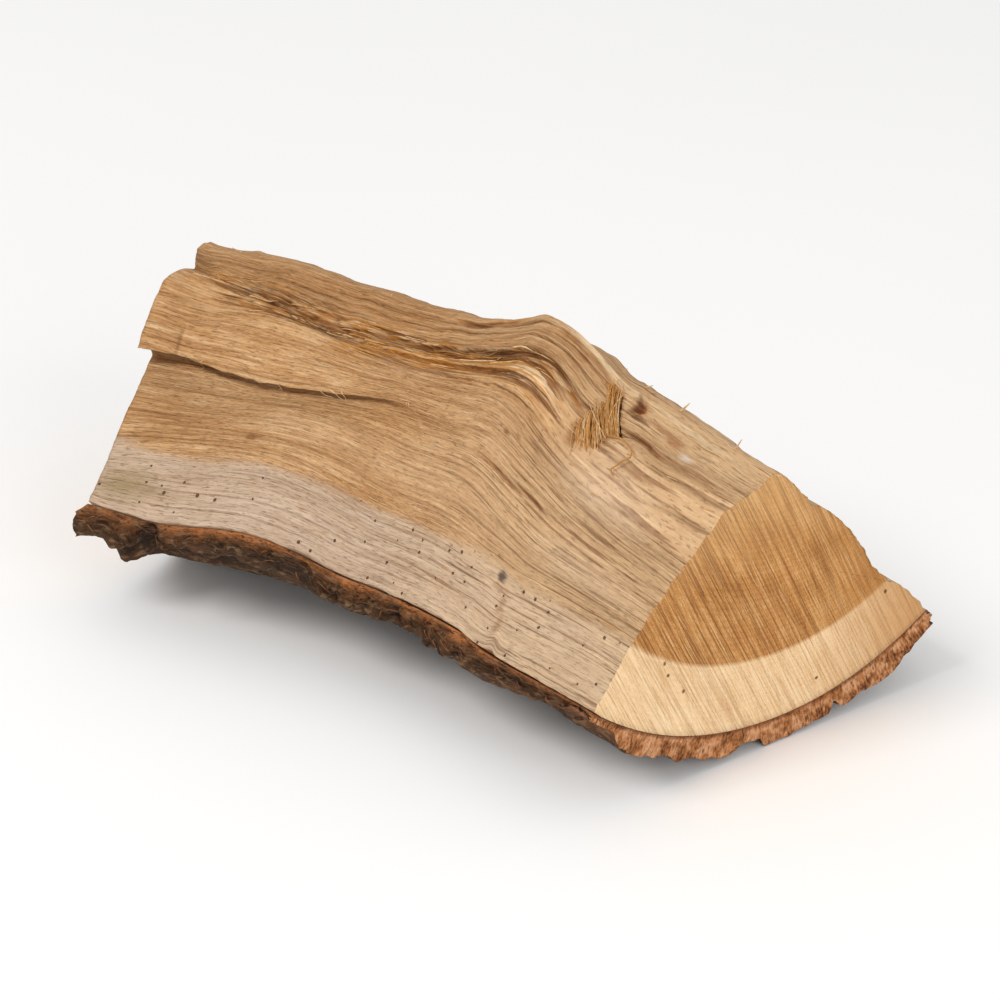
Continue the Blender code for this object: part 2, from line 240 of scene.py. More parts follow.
# The sawn ends: the middle of their rings, and the lean in degrees and depth of the saw's marks. Then the
# width of a growth ring, and of the cells that hold one insect hole at most.
SECTION_MIDDLE = np.array([-0.002, 0.07])
SAW_LEAN, SAW_DEPTH = -62.0, 0.0001
RING_WIDTH, HOLE_CELL = 0.0021, 0.0072

# Insect holes in the near sawn end: across, height and width.
END_HOLES = (
    (-0.0438, 0.046, 0.0013), (-0.0423, 0.0411, 0.0012), (-0.0358, 0.0331, 0.0013), (0.0204, 0.0181, 0.0012),
    (0.0491, 0.0406, 0.0013),
)

# The stage. Each light has its name, place, width, power in watts and colour.
FLOOR_SIZE, FLOOR_GAP = 14.0, 0.0004
CAMERA_TARGET = (0.01913, -0.01501, 0.05914)
CAMERA_BACK = (0.57927, -0.66637, 0.46947)
CAMERA_DISTANCE, CAMERA_LENS = 1.3, 141.59
SURROUND_STRENGTH = 0.66
LIGHTS = (
    ("key", (-0.5, -1.7, 2.0), 1.1, 27.0, (1.0, 0.985, 0.96)),
    ("fill", (1.9, -0.7, 1.0), 1.4, 13.0, (1.0, 0.985, 0.96)),
)

# How finely each side is divided. The wood's stations and columns give just under 200,000 triangles.
WOOD_STATIONS = 214
SHEET_COLUMNS, STEP_COLUMNS, LOWER_COLUMNS = 112, 10, 112
ROUND_COLUMNS, BACK_COLUMNS, RIDGE_COLUMNS = 36, 72, 16
END_RINGS, FIBRE_STEPS = 25, 14
BARK_STATIONS, BARK_COLUMNS, BARK_LAYERS = 300, 138, 14
TORN_COLUMNS = 16  # of the bark's far end, at its front, that were torn off and not sawn


# Sizes and colours that a user may change.


def linear(code):
    """The linear colour of an sRGB hex value."""
    parts = np.array([int(code[k : k + 2], 16) for k in (1, 3, 5)]) / 255.0
    return tuple(np.where(parts <= 0.04045, parts / 12.92, ((parts + 0.055) / 1.055) ** 2.4).tolist())


def length(name, description, default):
    return bpy.props.FloatProperty(
        name=name, description=description, default=default, min=0.0, unit="LENGTH", precision=5
    )


def colour(name, description, code):
    return bpy.props.FloatVectorProperty(
        name=name, description=description, default=linear(code), min=0.0, max=1.0, subtype="COLOR", size=3
    )


class LogSizes(bpy.types.PropertyGroup):
    """The log's sizes."""

    log_length: length("Length", "Along the grain, from sawn end to sawn end", 0.25)
    bend: bpy.props.FloatProperty(
        name="Bend", description="How far each sawn end is turned", default=math.radians(12.0),
        subtype="ANGLE",
    )
    ridge_width: length("Ridge width", "Across the blunt top of the wedge", 0.011)
    sapwood: length("Sapwood", "Thickness of the pale wood under the bark", 0.024)
    grain_relief: length("Grain relief", "Height of the ribs that splitting leaves along the grain", 0.00042)
    grain_pitch: length("Grain pitch", "From one rib of the split grain to the next", 0.0021)
    saw_pitch: length("Saw mark pitch", "From one mark of the saw to the next", 0.0017)
    hole: length("Insect holes", "Width of the holes in the sapwood", 0.00095)
    bark: bpy.props.FloatProperty(
        name="Bark", description="Share of the bark's full thickness", default=1.0, min=0.0, max=1.0,
        subtype="FACTOR",
    )
    fissure: length("Fissures", "Depth of the cracks between the bark's plates", 0.0028)


class LogColours(bpy.types.PropertyGroup):
    """The log's colours."""

    heart: colour("Heartwood", "Split heartwood", "#bd8e5d")
    heart_light: colour("Heartwood, light", "Light streaks of the split heartwood", "#e0bd93")
    heart_dark: colour("Heartwood, dark", "Dark streaks of the split heartwood", "#8c5f36")
    sap: colour("Sapwood", "Split sapwood, greyed by dust", "#c5a98f")
    sap_light: colour("Sapwood, light", "Light streaks of the split sapwood", "#dac5ae")
    sap_dark: colour("Sapwood, dark", "Dark streaks of the split sapwood", "#a38466")
    torn: colour("Torn wood", "Freshly torn wood in the grooves and the knot", "#bc7f3b")
    fibre_dark: colour("Loose fibres, dark", "Loose fibres in the hollows", "#8f5b24")
    fibre: colour("Loose fibres", "Loose fibres of the knot and the grooves", "#c38a43")
    # fibre_light is also the colour of the painted highlights on torn wood.
    fibre_light: colour("Loose fibres, light", "Loose fibres that stand out", "#efd6ad")
    pore: colour("Pores", "Short open pores in the split faces", "#7b4a24")
    # Painted shade: the colour of shade in cracks, grooves, hollows and holes, and under lips, steps and the
    # ledge.
    crack_shade: colour("Cracks", "Bottoms of the cracks", "#613709")
    end_heart: colour("Sawn heartwood", "Heartwood on the sawn ends", "#c28749")
    end_heart_light: colour("Sawn heartwood, light", "Light marks on the sawn heartwood", "#e3b47a")
    end_heart_dark: colour("Sawn heartwood, dark", "Dark marks on the sawn heartwood", "#8c5628")
    end_sap: colour("Sawn sapwood", "Sapwood on the sawn ends", "#f4ce9f")
    end_sap_light: colour("Sawn sapwood, light", "Light marks on the sawn sapwood", "#ffe4ba")
    end_sap_dark: colour("Sawn sapwood, dark", "Dark marks on the sawn sapwood", "#d8ae7a")
    bark_inner: colour("Inner bark", "Fibrous red-brown bark next to the wood", "#b8723e")
    bark_middle: colour("Bark", "Corky bark", "#784c2b")
    bark_outer: colour("Outer bark", "Weathered outside of the bark", "#4f3520")
    bark_dust: colour("Bark flakes", "Dusty flakes on the bark", "#a5825f")
    bark_cut: colour("Sawn bark", "Bark on the sawn ends", "#b37443")
    bark_cut_light: colour("Sawn bark, light", "Freshly cut bark", "#dea67a")
    bark_cut_dark: colour("Sawn bark, dark", "Dark specks in the sawn bark", "#5d2f14")
    # Painted shade in the bark's fissures, pits and sawn cracks, and the darkest tone of the bast fibres.
    bark_deep: colour("Fissures", "Bottoms of the bark's cracks", "#20140b")
    floor: colour("Floor", "The plain pale floor", "#fdfdfd")


# Shape functions that every side shares. A section point is (across, height) on an array's last axis.


def smooth_step(amount):
    """Goes from 0 to 1 with level ends: 3 t squared less 2 t cubed."""
    held = np.clip(amount, 0.0, 1.0)
    return held * held * (3.0 - 2.0 * held)


def along(pairs, station):
    """The size at each station, with a smooth step from each pair to the next."""
    size = pairs[0][1]
    for (start, low), (end, high) in zip(pairs[:-1], pairs[1:]):
        size = size + (high - low) * smooth_step((station - start) / (end - start))
    return size


def curve(pairs, station):
    """A smooth curve through the pairs: cubic pieces whose slope at a pair is that between its neighbours."""
    x, y = np.array(pairs).T
    slope = np.gradient(y, x)
    k = np.clip(np.searchsorted(x, station, side="right") - 1, 0, len(x) - 2)
    width = x[k + 1] - x[k]
    t = (station - x[k]) / width
    from_low = y[k] * (1.0 + 2.0 * t) * (1.0 - t) ** 2 + slope[k] * width * t * (1.0 - t) ** 2
    return from_low + y[k + 1] * t**2 * (3.0 - 2.0 * t) + slope[k + 1] * width * t**2 * (t - 1.0)


def between(place, start, rise, end, fall):
    """Is 1 from start to end: it eases in over rise after the start, and out over fall before the end."""
    return smooth_step((place - start) / rise) * smooth_step((end - place) / fall)


def hump(place, centre, spread):
    """A rounded hump of height 1 at its centre: e to the minus square of the distance in spreads."""
    return np.exp(-(((place - centre) / spread) ** 2))


def noise(x, y, seed):
    """Smooth random waves between -1 and 1: random heights on a unit lattice, joined by smooth steps."""
    x, y = np.broadcast_arrays(x, y)
    heights = np.random.default_rng(seed).uniform(-1.0, 1.0, (256, 256))
    i, j = np.floor(x).astype(int), np.floor(y).astype(int)
    u, v = smooth_step(x - i), smooth_step(y - j)
    near, far = (
        heights[i % 256, k % 256] * (1.0 - u) + heights[(i + 1) % 256, k % 256] * u for k in (j, j + 1)
    )
    return near * (1.0 - v) + far * v


def layered(x, y, seed, layers=3):
    """Noise with finer layers on it: each has twice the waves of the last and half their height."""
    return sum(noise(x * 2**layer, y * 2**layer, seed + layer) / 2**layer for layer in range(layers))


def section(across, height):
    """Section points from their two sizes."""
    return np.stack(np.broadcast_arrays(across, height), axis=-1)


def heading(sizes, station):
    """The angle of the grain from the X axis: the bend, easing through nothing to its opposite."""
    return sizes.bend * (1.0 - 2.0 * smooth_step((station - BEND_STARTS) / (BEND_ENDS - BEND_STARTS)))


def in_world(sizes, station, points):
    """Section points to world places.

    The grain line is the sum of small steps along the heading. A point lies across it, square to the heading.
    """
    fine = np.linspace(0.0, 1.0, 2001)
    steps = heading(sizes, (fine[1:] + fine[:-1]) / 2.0)
    turned = heading(sizes, station)
    world = []
    for wave, aside, middle in ((np.cos, -np.sin(turned), MIDDLE[0]), (np.sin, np.cos(turned), MIDDLE[1])):
        line = np.concatenate([[0.0], np.cumsum(wave(steps))]) * sizes.log_length / (len(fine) - 1)
        world.append(np.interp(station, fine, line - line[-1] / 2.0 - middle) + aside * points[..., 0])
    return np.stack([*world, points[..., 1]], axis=-1)


# The wedge's outline.


def knot_lift(station):
    """How much of the knot's rise and shift the ridge has, from 0 to 1."""
    return hump(station, KNOT_STATION, KNOT_SPREAD)


def ridge_front(sizes, station):
    """The ridge's front edge, without its bumps. The knot lifts and shifts it."""
    lift = knot_lift(station)
    height = along(RIDGE_HEIGHT, station) + KNOT_RISE * lift
    return section(lift * KNOT_SHIFT - 0.4 * sizes.ridge_width, height)


def ridge_bumps(sizes, station):
    """How far small bumps lift the ridge's front edge, most over the knot."""
    run = station * sizes.log_length
    return 0.5 * MM * layered(run / 0.012, 0.0, 61) + 1.4 * MM * hump(station, 0.562, 0.022)


def ridge_back(sizes, station):
    """The ridge's back edge, without its bumps. The knot lifts it less."""
    lift = knot_lift(station)
    height = along(RIDGE_HEIGHT, station) + KNOT_RISE * KNOT_RISE_BEHIND * lift - along(RIDGE_DROP, station)
    return section(lift * KNOT_SHIFT + 0.6 * sizes.ridge_width, height)


def back_bumps(sizes, station):
    """How far small bumps lift the ridge's back edge."""
    return 0.8 * MM * layered(station * sizes.log_length / 0.01, 0.0, 62)


def front_corner(station):
    """The front face's lower edge."""
    return section(along(FRONT_CORNER_ACROSS, station), along(FRONT_CORNER_HEIGHT, station))


def corner_bites(station):
    """How far small bites, and the notch where a branch stub was, move the front corner in and up."""
    return 0.25 * MM * (1.0 + layered(station * 30.0, 0.0, 63)) + 1.1 * MM * hump(station, 0.775, 0.012)


def back_corner(station):
    """The back face's lower edge."""
    return section(along(BACK_CORNER_ACROSS, station), along(BACK_CORNER_HEIGHT, station))


def down_face(start, corner, place, relief):
    """Points down a split face: start plus a share of the way to the corner, and relief square to that."""
    way = corner - start
    facing = np.where(way[..., :1] < 0.0, 1.0, -1.0)
    out = facing * way[..., ::-1] * [1.0, -1.0] / np.linalg.norm(way, axis=-1, keepdims=True)
    return start + way * place[..., None] + out * relief[..., None]


def polar(points):
    """The distance of section points from the pith, and their angle about it."""
    across, height = np.moveaxis(points - PITH, -1, 0)
    return np.hypot(across, height), np.arctan2(height, across)


def corner_angles(station):
    """The angles of the front and back corners about the pith."""
    return polar(front_corner(station))[1], polar(back_corner(station))[1]


def radius_under_bark(station, share):
    """The tree's radius round the barked side, easing from each corner's own distance from the pith."""
    front, back = polar(front_corner(station))[0], polar(back_corner(station))[0]
    radius = TREE_RADIUS + (front - TREE_RADIUS) * smooth_step(1.0 - share / 0.3)
    return radius + (back - TREE_RADIUS) * smooth_step(1.0 - (1.0 - share) / 0.3)


def round_side(station, share, extra=0.0):
    """Section points round the barked side, on a circle about the pith that is larger by extra."""
    start, end = corner_angles(station)
    angle = start + (end - start) * share
    radius = radius_under_bark(station, share) + extra
    return PITH + section(np.cos(angle), np.sin(angle)) * radius[..., None]


def depth_under_bark(station, points):
    """How far inside the wood's barked side section points are, measured towards the pith."""
    start, end = corner_angles(station)
    distance, angle = polar(points)
    return radius_under_bark(station, np.clip((angle - start) / (end - start), 0.0, 1.0)) - distance


# The torn surface of the split faces.


def grain_place(station, place):
    """Where a point of the front face lies in undisturbed grain, in proportion between the paths beside."""
    grain = 0.0
    for (low, low_path), (high, high_path) in zip(GRAIN_PATHS[:-1], GRAIN_PATHS[1:]):
        start, end = curve(low_path, station), curve(high_path, station)
        grain = grain + (high - low) * np.clip((place - start) / (end - start), 0.0, 1.0)
    return grain


def torn_lips(run, grain, count, seed, tallest):
    """Thin lips left where fibres parted. Returns their height and how dark the painted shadow under each lip
    is.

    Each lip follows a line of grain. It rises over a few millimetres, drops at once, and fades at both ends.
    """
    random = np.random.default_rng(seed)
    height, dark = 0.0, 0.0
    for lip in range(count):
        middle, line = random.uniform(0.0, 0.25), random.uniform(0.0, FACE_WIDTH)
        half = random.uniform(6 * MM, 34 * MM)
        rise = tallest * random.uniform(0.25, 1.0) ** 2
        reach = random.uniform(1.2 * MM, 4.5 * MM)
        side = random.choice([-1.0, 1.0], p=[0.25, 0.75])
        window = smooth_step(1.3 - np.abs(run - middle) / half)
        away = (line - grain + 0.8 * MM * noise(run / 0.022, lip, seed)) * side
        height = height + rise * window * np.exp(-np.abs(away) / reach) * smooth_step(away / (0.5 * MM) + 0.5)
        # dark is a painted shadow just under the lip's drop.
        dark = dark + window * hump(away, -0.25 * MM, 0.35 * MM) * (0.1 + 0.35 * rise / tallest)
    return height, np.clip(dark, 0.0, 1.0)


def split_grain(sizes, run, grain, seed):
    """The ribbed surface that splitting leaves: waves much longer along the grain than across it."""
    pitch = sizes.grain_pitch
    broad = 1.9 * noise(run / 0.11, grain / (6.0 * pitch), seed)
    ribs = 0.9 * layered(run / 0.075, grain / (1.6 * pitch), seed + 10, 2)
    threads = 0.55 * noise(run / 0.03, grain / (0.55 * pitch), seed + 20)
    return sizes.grain_relief * (broad + ribs + threads)


def torn_steps(run, grain, pitch, seed):
    """Steps torn along the grain: each rises over one pitch, drops at once, and comes and goes along the run.

    Returns the height, from 0 to 1, and a mask that is 1 at the drops, where front_relief paints a shadow.
    """
    turn = grain / pitch + 0.5 * noise(run / 0.05, grain / (3.0 * pitch), seed)
    turn = turn + 0.06 * noise(run / 0.004, grain / pitch, seed + 2)
    step = np.floor(turn)
    part = turn - step
    present = smooth_step(0.65 + 1.5 * noise(run / 0.045, step * 7.3, seed + 1))
    return present * part * smooth_step((1.0 - part) / 0.12), present * smooth_step((part - 0.84) / 0.08)


def ribbed(run, grain, pitch, seed):
    """Round ribs with sharp valleys, from 0 to about 1: the size of a noise that crosses zero."""
    return np.abs(layered(run / 0.05, grain / pitch, seed, 2)) ** 0.7


def groove(station, place, line, depth, width):
    """A groove along a line of the face: its depth, shaped as a sharp hump across the line."""
    across = np.abs(place - curve(line, station)) / curve(width, station)
    return along(depth, station) * np.exp(-(across**1.5))


def spot(station, place, centre, size, depth):
    """A round hollow or lump about a point, whose middle is depth deep or high."""
    return depth * hump(station, centre[0], size[0]) * hump(place, centre[1], size[1])


def swell(station, place):
    """How far the front face bows out of the flat between its edges."""
    return along(CROWN, station) * between(place, 0.0, 0.2, 1.0, 0.35)


def ledge_place(station):
    """Where the lower edge of the sheet runs down the face, a little ragged."""
    return curve(LEDGE_PLACE, station) + 0.003 * layered(station * 60.0, 0.0, 65)


def front_relief(sizes, station, place, above):
    """The front face's height over the flat between its edges, with what its finish needs.

    above is 1 on the sheet that the second split left and 0 below its ledge. Returns the height, the place in
    undisturbed grain, how freshly torn the wood is, and dark: painted shade in its cracks, grooves and
    hollows, under its lips and steps, and below the ledge.
    """
    grain = grain_place(station, place)
    run = station * sizes.log_length
    line = grain * FACE_WIDTH
    edges = between(place, 0.0, 0.02, 1.0, 0.02)
    ledge = ledge_place(station)
    fall = 1.0 - 0.12 * smooth_step((place - ledge + 0.06) / 0.06)
    sheet = along(SHEET, station) * smooth_step((place - 0.03) / 0.17) * above * fall

    ragged = place + 0.006 * noise(run / 0.006, place * 12.0, 71)
    ragged = ragged + 0.004 * noise(run / 0.0025, place * 20.0, 72)
    cut = sum(groove(station, ragged, *shape) for shape in GROOVES)
    torn_zone = between(station, *TORN_SPAN) * hump(grain, *TORN_LINE)
    terraces = between(station, *TERRACE_SPAN) * between(grain, *TERRACE_GRAIN)
    wide_zone = spot(station, grain, *SHRED_ZONE)
    steps, drops = torn_steps(run, line, STEP_PITCH, 34)
    shreds = ribbed(run * 5.0, line + 0.7 * MM * noise(run / 0.008, line / 0.004, 33), SHRED_PITCH, 32)
    pocket, slit, pit = (spot(station, place, *shape) for shape in (KNOT_POCKET, KNOT_SLIT, PIT))
    plate = PLATE_HEIGHT * between(station, *PLATE_SPAN) * smooth_step((0.15 - grain) / 0.01)
    rough = 0.6 + 0.55 * hump(grain, 0.17, 0.12) + 0.45 * smooth_step((station - 0.45) / 0.2)
    lips, dark = torn_lips(run, line, *FRONT_LIPS)

    torn_off = (TERRACE_STEP * terraces + TORN_STEP * torn_zone) * (steps - 0.3)
    torn_off = torn_off + SHRED_HEIGHT * wide_zone * (shreds - 0.8)
    height = swell(station, place) + sheet + plate - (cut + pocket + slit + pit) * smooth_step(place / 0.012)
    height = height + edges * (rough * (split_grain(sizes, run, line, 11) + lips) + torn_off)
    # The large weights are those of depths, which are in metres.
    torn = 0.9 * torn_zone + 0.5 * wide_zone + 0.15 * terraces
    torn = torn + 190.0 * cut + 300.0 * (pocket + slit) + 260.0 * pit
    # Painted shade in dark: grooves, slit, pit, the deep pocket, under lips and step drops, and between
    # shreds.
    dark = dark * rough + 125.0 * np.clip(cut - 1.3 * MM, 0.0, 1.0) + 170.0 * slit + 130.0 * pit
    dark = dark + 26.0 * np.clip(pocket - 1.5 * MM, 0.0, 1.0) + (0.62 * terraces + 0.35 * torn_zone) * drops
    dark = dark + 0.7 * wide_zone * smooth_step((0.28 - shreds) / 0.1)
    # Painted shadow in a band just below the ledge, on the far half of the face.
    ledge_shadow = (1.0 - above) * smooth_step((0.44 - station) / 0.08)
    dark = dark + 0.85 * ledge_shadow * np.exp(-np.clip(place - ledge - LEDGE_FOOT, 0.0, 1.0) / 0.0035)
    return height, grain, np.clip(torn, 0.0, 1.0), np.clip(dark, 0.0, 1.0)


def front_point(sizes, station, place, above=None):
    """Section points of the front face, and what front_relief says of them."""
    above = place < ledge_place(station) if above is None else above
    relief, *found = front_relief(sizes, station, place, above)
    bump = ridge_bumps(sizes, station) * smooth_step(1.0 - place / 0.3)
    bite = corner_bites(station) * smooth_step((place - 0.88) / 0.12)
    points = down_face(ridge_front(sizes, station), front_corner(station), place, relief)
    return points + section(bite, bump + bite), *found


# Meshes.


def add_mesh(name, points, quads, corner_uv, attributes, material_index, materials):
    """A mesh object at the origin, from whole arrays. A quad that gives a corner twice is a triangle."""
    keep = quads != np.roll(quads, -1, axis=1)
    sides = keep.sum(axis=1)
    data = bpy.data.meshes.new(name)
    data.vertices.add(len(points))
    data.vertices.foreach_set("co", points.astype(np.float32).ravel())
    data.loops.add(int(sides.sum()))
    data.loops.foreach_set("vertex_index", quads[keep].astype(np.int32))
    data.polygons.add(len(quads))
    data.polygons.foreach_set("loop_start", (np.cumsum(sides) - sides).astype(np.int32))
    data.polygons.foreach_set("material_index", material_index.astype(np.int32))
    data.update(calc_edges=True)
    uv = data.uv_layers.new(name="grain")
    uv.data.foreach_set("uv", corner_uv[keep].astype(np.float32).ravel())
    for attribute, values in attributes.items():
        layer = data.attributes.new(attribute, "FLOAT", "POINT")
        layer.data.foreach_set("value", values.astype(np.float32))
    for material in materials:
        data.materials.append(material)
    data.validate()
    data.shade_smooth()
    piece = bpy.data.objects.new(name, data)
    bpy.context.scene.collection.objects.link(piece)
    return piece


def cells(grid):
    """The four corners of each cell of a grid, in order round it. The grid holds point numbers or UVs."""
    corners = [grid[:-1, :-1], grid[:-1, 1:], grid[1:, 1:], grid[1:, :-1]]
    return np.stack(corners, axis=2).reshape(-1, 4, *grid.shape[2:])


def wrapped(grid):
    """A grid with its first column again after its last."""
    return np.concatenate([grid, grid[:, :1]], axis=1)


def side_by_side(*parts):
    """One grid of columns from several. A part with one row has it repeated for every station."""
    rows = max(len(part) for part in parts)
    return np.concatenate([np.broadcast_to(part, (rows, *part.shape[1:])) for part in parts], axis=1)


def add_log_piece(name, sizes, points, girth, values, make_end, materials):
    """A closed mesh round the grain line: a ring of columns at each station, with both end rings filled.

    points are section points by station and column, girth is each column's place round the UV map, with one
    more where the ring closes, and values are the attributes. make_end fills the ring of a station and row.
    It returns the new section points, how far each stands along the grain, their values, a grid of numbers
    in which the ring's own points come first, and each cell's finish. An end's UVs are its section points.
    """
    rows, columns = points.shape[:2]
    station = np.linspace(0.0, 1.0, rows)[:, None]
    numbers = np.arange(rows * columns).reshape(rows, columns)
    places = [in_world(sizes, station, points).reshape(-1, 3)]
    quads, uvs = [cells(wrapped(numbers))], [cells(section(station * sizes.log_length, girth))]
    finishes = [np.zeros(len(quads[0]))]
    values = {key: [value.ravel()] for key, value in values.items()}
    for row, turn in ((0, -1), (rows - 1, 1)):
        end = station[row, 0]
        filling, stand, known, grid, finish_index = make_end(end, row)
        first = sum(map(len, places))
        numbers = np.where(grid < columns, grid + row * columns, grid - columns + first)
        quads.append(cells(numbers)[:, ::turn])
        uvs.append(cells(np.concatenate([points[row], filling])[grid])[:, ::turn])
        finishes.append(np.broadcast_to(finish_index, (len(grid) - 1, grid.shape[1] - 1)).ravel())
        angle = heading(sizes, end)
        out = np.array([math.cos(angle), math.sin(angle), 0.0]) * stand[:, None]
        places.append(in_world(sizes, end, filling) + out)
        for key, value in values.items():
            value.append(known.get(key, np.zeros(len(filling))))
    values = {key: np.concatenate(value) for key, value in values.items()}
    places, quads, uvs, finishes = map(np.concatenate, (places, quads, uvs, finishes))
    return add_mesh(name, places, quads, uvs, values, finishes, materials)


def wood_columns(sizes, station):
    """The wedge's outline at each station, as columns: front face, barked side, back face, ridge.

    Returns the section points, each column's place along the girth for the UV map, torn, and dark, the
    painted shade.
    """
    ledge = ledge_place(station)
    thick = along(SHEET, station) / SHEET[0][1]
    over = np.linspace(0.0, 1.0, SHEET_COLUMNS)[None, :]
    step = (np.arange(1, STEP_COLUMNS + 1) / (STEP_COLUMNS + 1))[None, :]
    under = np.linspace(0.0, 1.0, LOWER_COLUMNS, endpoint=False)[None, :]
    foot = ledge + LEDGE_FOOT
    on_step = ledge + LEDGE_FOOT * step - UNDERCUT * thick * np.sin(math.pi * step) ** 0.7
    place = side_by_side(over * ledge, on_step, foot + (1.0 - foot) * under)
    above = side_by_side(np.ones(over.shape), 1.0 - smooth_step(step * 1.2), np.zeros(under.shape))
    front, grain, torn, dark = front_point(sizes, station, place, above)
    in_step = slice(SHEET_COLUMNS, SHEET_COLUMNS + STEP_COLUMNS)
    # Painted shade on the step face under the overhanging sheet.
    dark[:, in_step] = np.maximum(dark[:, in_step], smooth_step(thick * 3.0) * np.sin(math.pi * step) ** 0.5)

    share = np.linspace(0.0, 1.0, ROUND_COLUMNS, endpoint=False)[None, :]
    below = round_side(station, share)
    below[:, :1] = front_corner(station) + corner_bites(station)[..., None]

    back = np.linspace(1.0, 0.0, BACK_COLUMNS, endpoint=False)[None, :]
    run = station * sizes.log_length
    back_line = back * FACE_WIDTH + 1.6 * MM * layered(run / 0.06, back * 4.0, 81)
    # back_lip_shadow is the painted shadow under the back face's lips.
    lips, back_lip_shadow = torn_lips(run, back_line, *BACK_LIPS)
    relief = BACK_WAVE * np.sin(9.0 * back + 5.0 * station) * np.sin(math.pi * back)
    edges = smooth_step((1.0 - back) / 0.02)
    relief = relief + edges * (1.25 * split_grain(sizes, run, back_line, 85) + lips)
    behind = down_face(ridge_back(sizes, station), back_corner(station), back, relief)
    behind[..., 1] += back_bumps(sizes, station) * smooth_step(1.0 - back / 0.25)

    top = np.linspace(0.0, 1.0, RIDGE_COLUMNS, endpoint=False)[None, :]
    start = ridge_back(sizes, station) + section(0.0, back_bumps(sizes, station))
    end = ridge_front(sizes, station) + section(0.0, ridge_bumps(sizes, station))
    crest = (along(CREST, station) + 0.5 * MM * noise(run / 0.03, top * 5.0, 87)) * np.sin(math.pi * top)
    ridge = start + (end - start) * top[..., None] + section(0.0, crest)

    to_back = FACE_WIDTH + ROUND_GIRTH
    to_ridge = to_back + FACE_WIDTH
    girth = side_by_side(
        grain * FACE_WIDTH, FACE_WIDTH + ROUND_GIRTH * share, to_back + FACE_WIDTH * (1.0 - back),
        to_ridge + sizes.ridge_width * np.append(top, [[1.0]], axis=1),
    )
    torn = side_by_side(torn, 0.0 * share, 0.0 * back, 0.0 * top + 0.1)
    dark = side_by_side(dark, 0.0 * share, back_lip_shadow, 0.0 * top)
    return side_by_side(front, below, behind, ridge), girth, torn, dark


def sawn_end(sizes, station, ring):
    """A sawn end: rings that shrink from the outline to a middle point, with the saw's shallow marks.

    A ring is the outline's points, each moved the same share of the way to the middle.
    """
    share = (np.arange(1, END_RINGS) / END_RINGS)[:, None]
    points = ring + (SECTION_MIDDLE - ring) * share[..., None]
    lean = math.radians(SAW_LEAN)
    over = points @ [math.sin(lean), -math.cos(lean)]
    along_mark = points @ [math.cos(lean), math.sin(lean)]
    marks = SAW_DEPTH * layered(over / sizes.saw_pitch, along_mark / 0.045, 91, 2)
    stand = np.append(marks * smooth_step(share * 12.0) * (1.0 if station > 0.5 else -1.0), 0.0)
    points = np.concatenate([points.reshape(-1, 2), [SECTION_MIDDLE]])
    centre = END_RINGS * len(ring)
    grid = np.append(np.arange(centre), np.full(len(ring), centre)).reshape(-1, len(ring))
    return points, stand, {"under_bark": depth_under_bark(station, points)}, wrapped(grid), 1


def make_wood_mesh(sizes, materials):
    """The wedge of wood, torn on its two split faces and sawn at both ends."""
    station = np.linspace(0.0, 1.0, WOOD_STATIONS)[:, None]
    points, girth, torn, dark = wood_columns(sizes, station)
    values = {"under_bark": depth_under_bark(station, points), "torn": torn, "dark": dark}

    def make_end(end, row):
        return sawn_end(sizes, end, points[row])

    return add_log_piece("split_wood", sizes, points, girth, values, make_end, materials)


def bark_thickness(sizes, station, share):
    """The bark's full thickness: thin at its front lip near the near end, with a torn lump at the far end."""
    front = 1.0 + (along(BARK_AT_FRONT, station) - 1.0) * smooth_step(1.0 - share / 0.18)
    lump = sum(spot(station, share, *shape) for shape in BARK_LUMPS)
    lump = lump * (1.0 + 0.42 * layered(station * 55.0, share * 42.0, 105))
    gap = spot(station, share, *BARK_GAP)
    bites = 0.0022 * np.clip(layered(station * 9.0, share * 9.0, 101), 0.0, 1.0)
    ragged = 0.01 * layered(share * 55.0, station * 4.0, 103)
    chips = 0.0
    for start, end, size in BARK_CHIPS:
        inside = smooth_step((share - start + ragged) / 0.022) * smooth_step((end - share + ragged) / 0.022)
        chips = chips + size * inside * smooth_step((station - 0.93) / 0.04)
    return sizes.bark * along(BARK_THICKNESS, share) * front + lump - gap - bites - chips


def bark_plates(sizes, run, girth):
    """How far the bark's outside lies below its plates: narrow fissures, longest along the grain."""
    wander = 3.0 * MM * noise(run / 0.03, girth / 0.012, 111)
    wide = noise(run / 0.04, (girth + wander) / 0.0085, 112)
    narrow = noise(run / 0.016, (girth + wander) / 0.0042, 113)
    cross = noise(run / 0.011, girth / 0.02, 114)
    fissures = hump(wide, 0.0, 0.16) + 0.45 * hump(narrow, 0.0, 0.18) + 0.4 * hump(cross, 0.0, 0.12)
    scales = 0.35 * layered(run / 0.0045, girth / 0.0028, 115, 2)
    from_end = np.minimum(run, sizes.log_length - run)
    worn = 0.3 + 0.7 * smooth_step((from_end - 2.0 * MM) / (14.0 * MM))
    return sizes.fissure * (worn * np.clip(fissures, 0.0, 1.2) + 0.45 * (1.0 + scales))


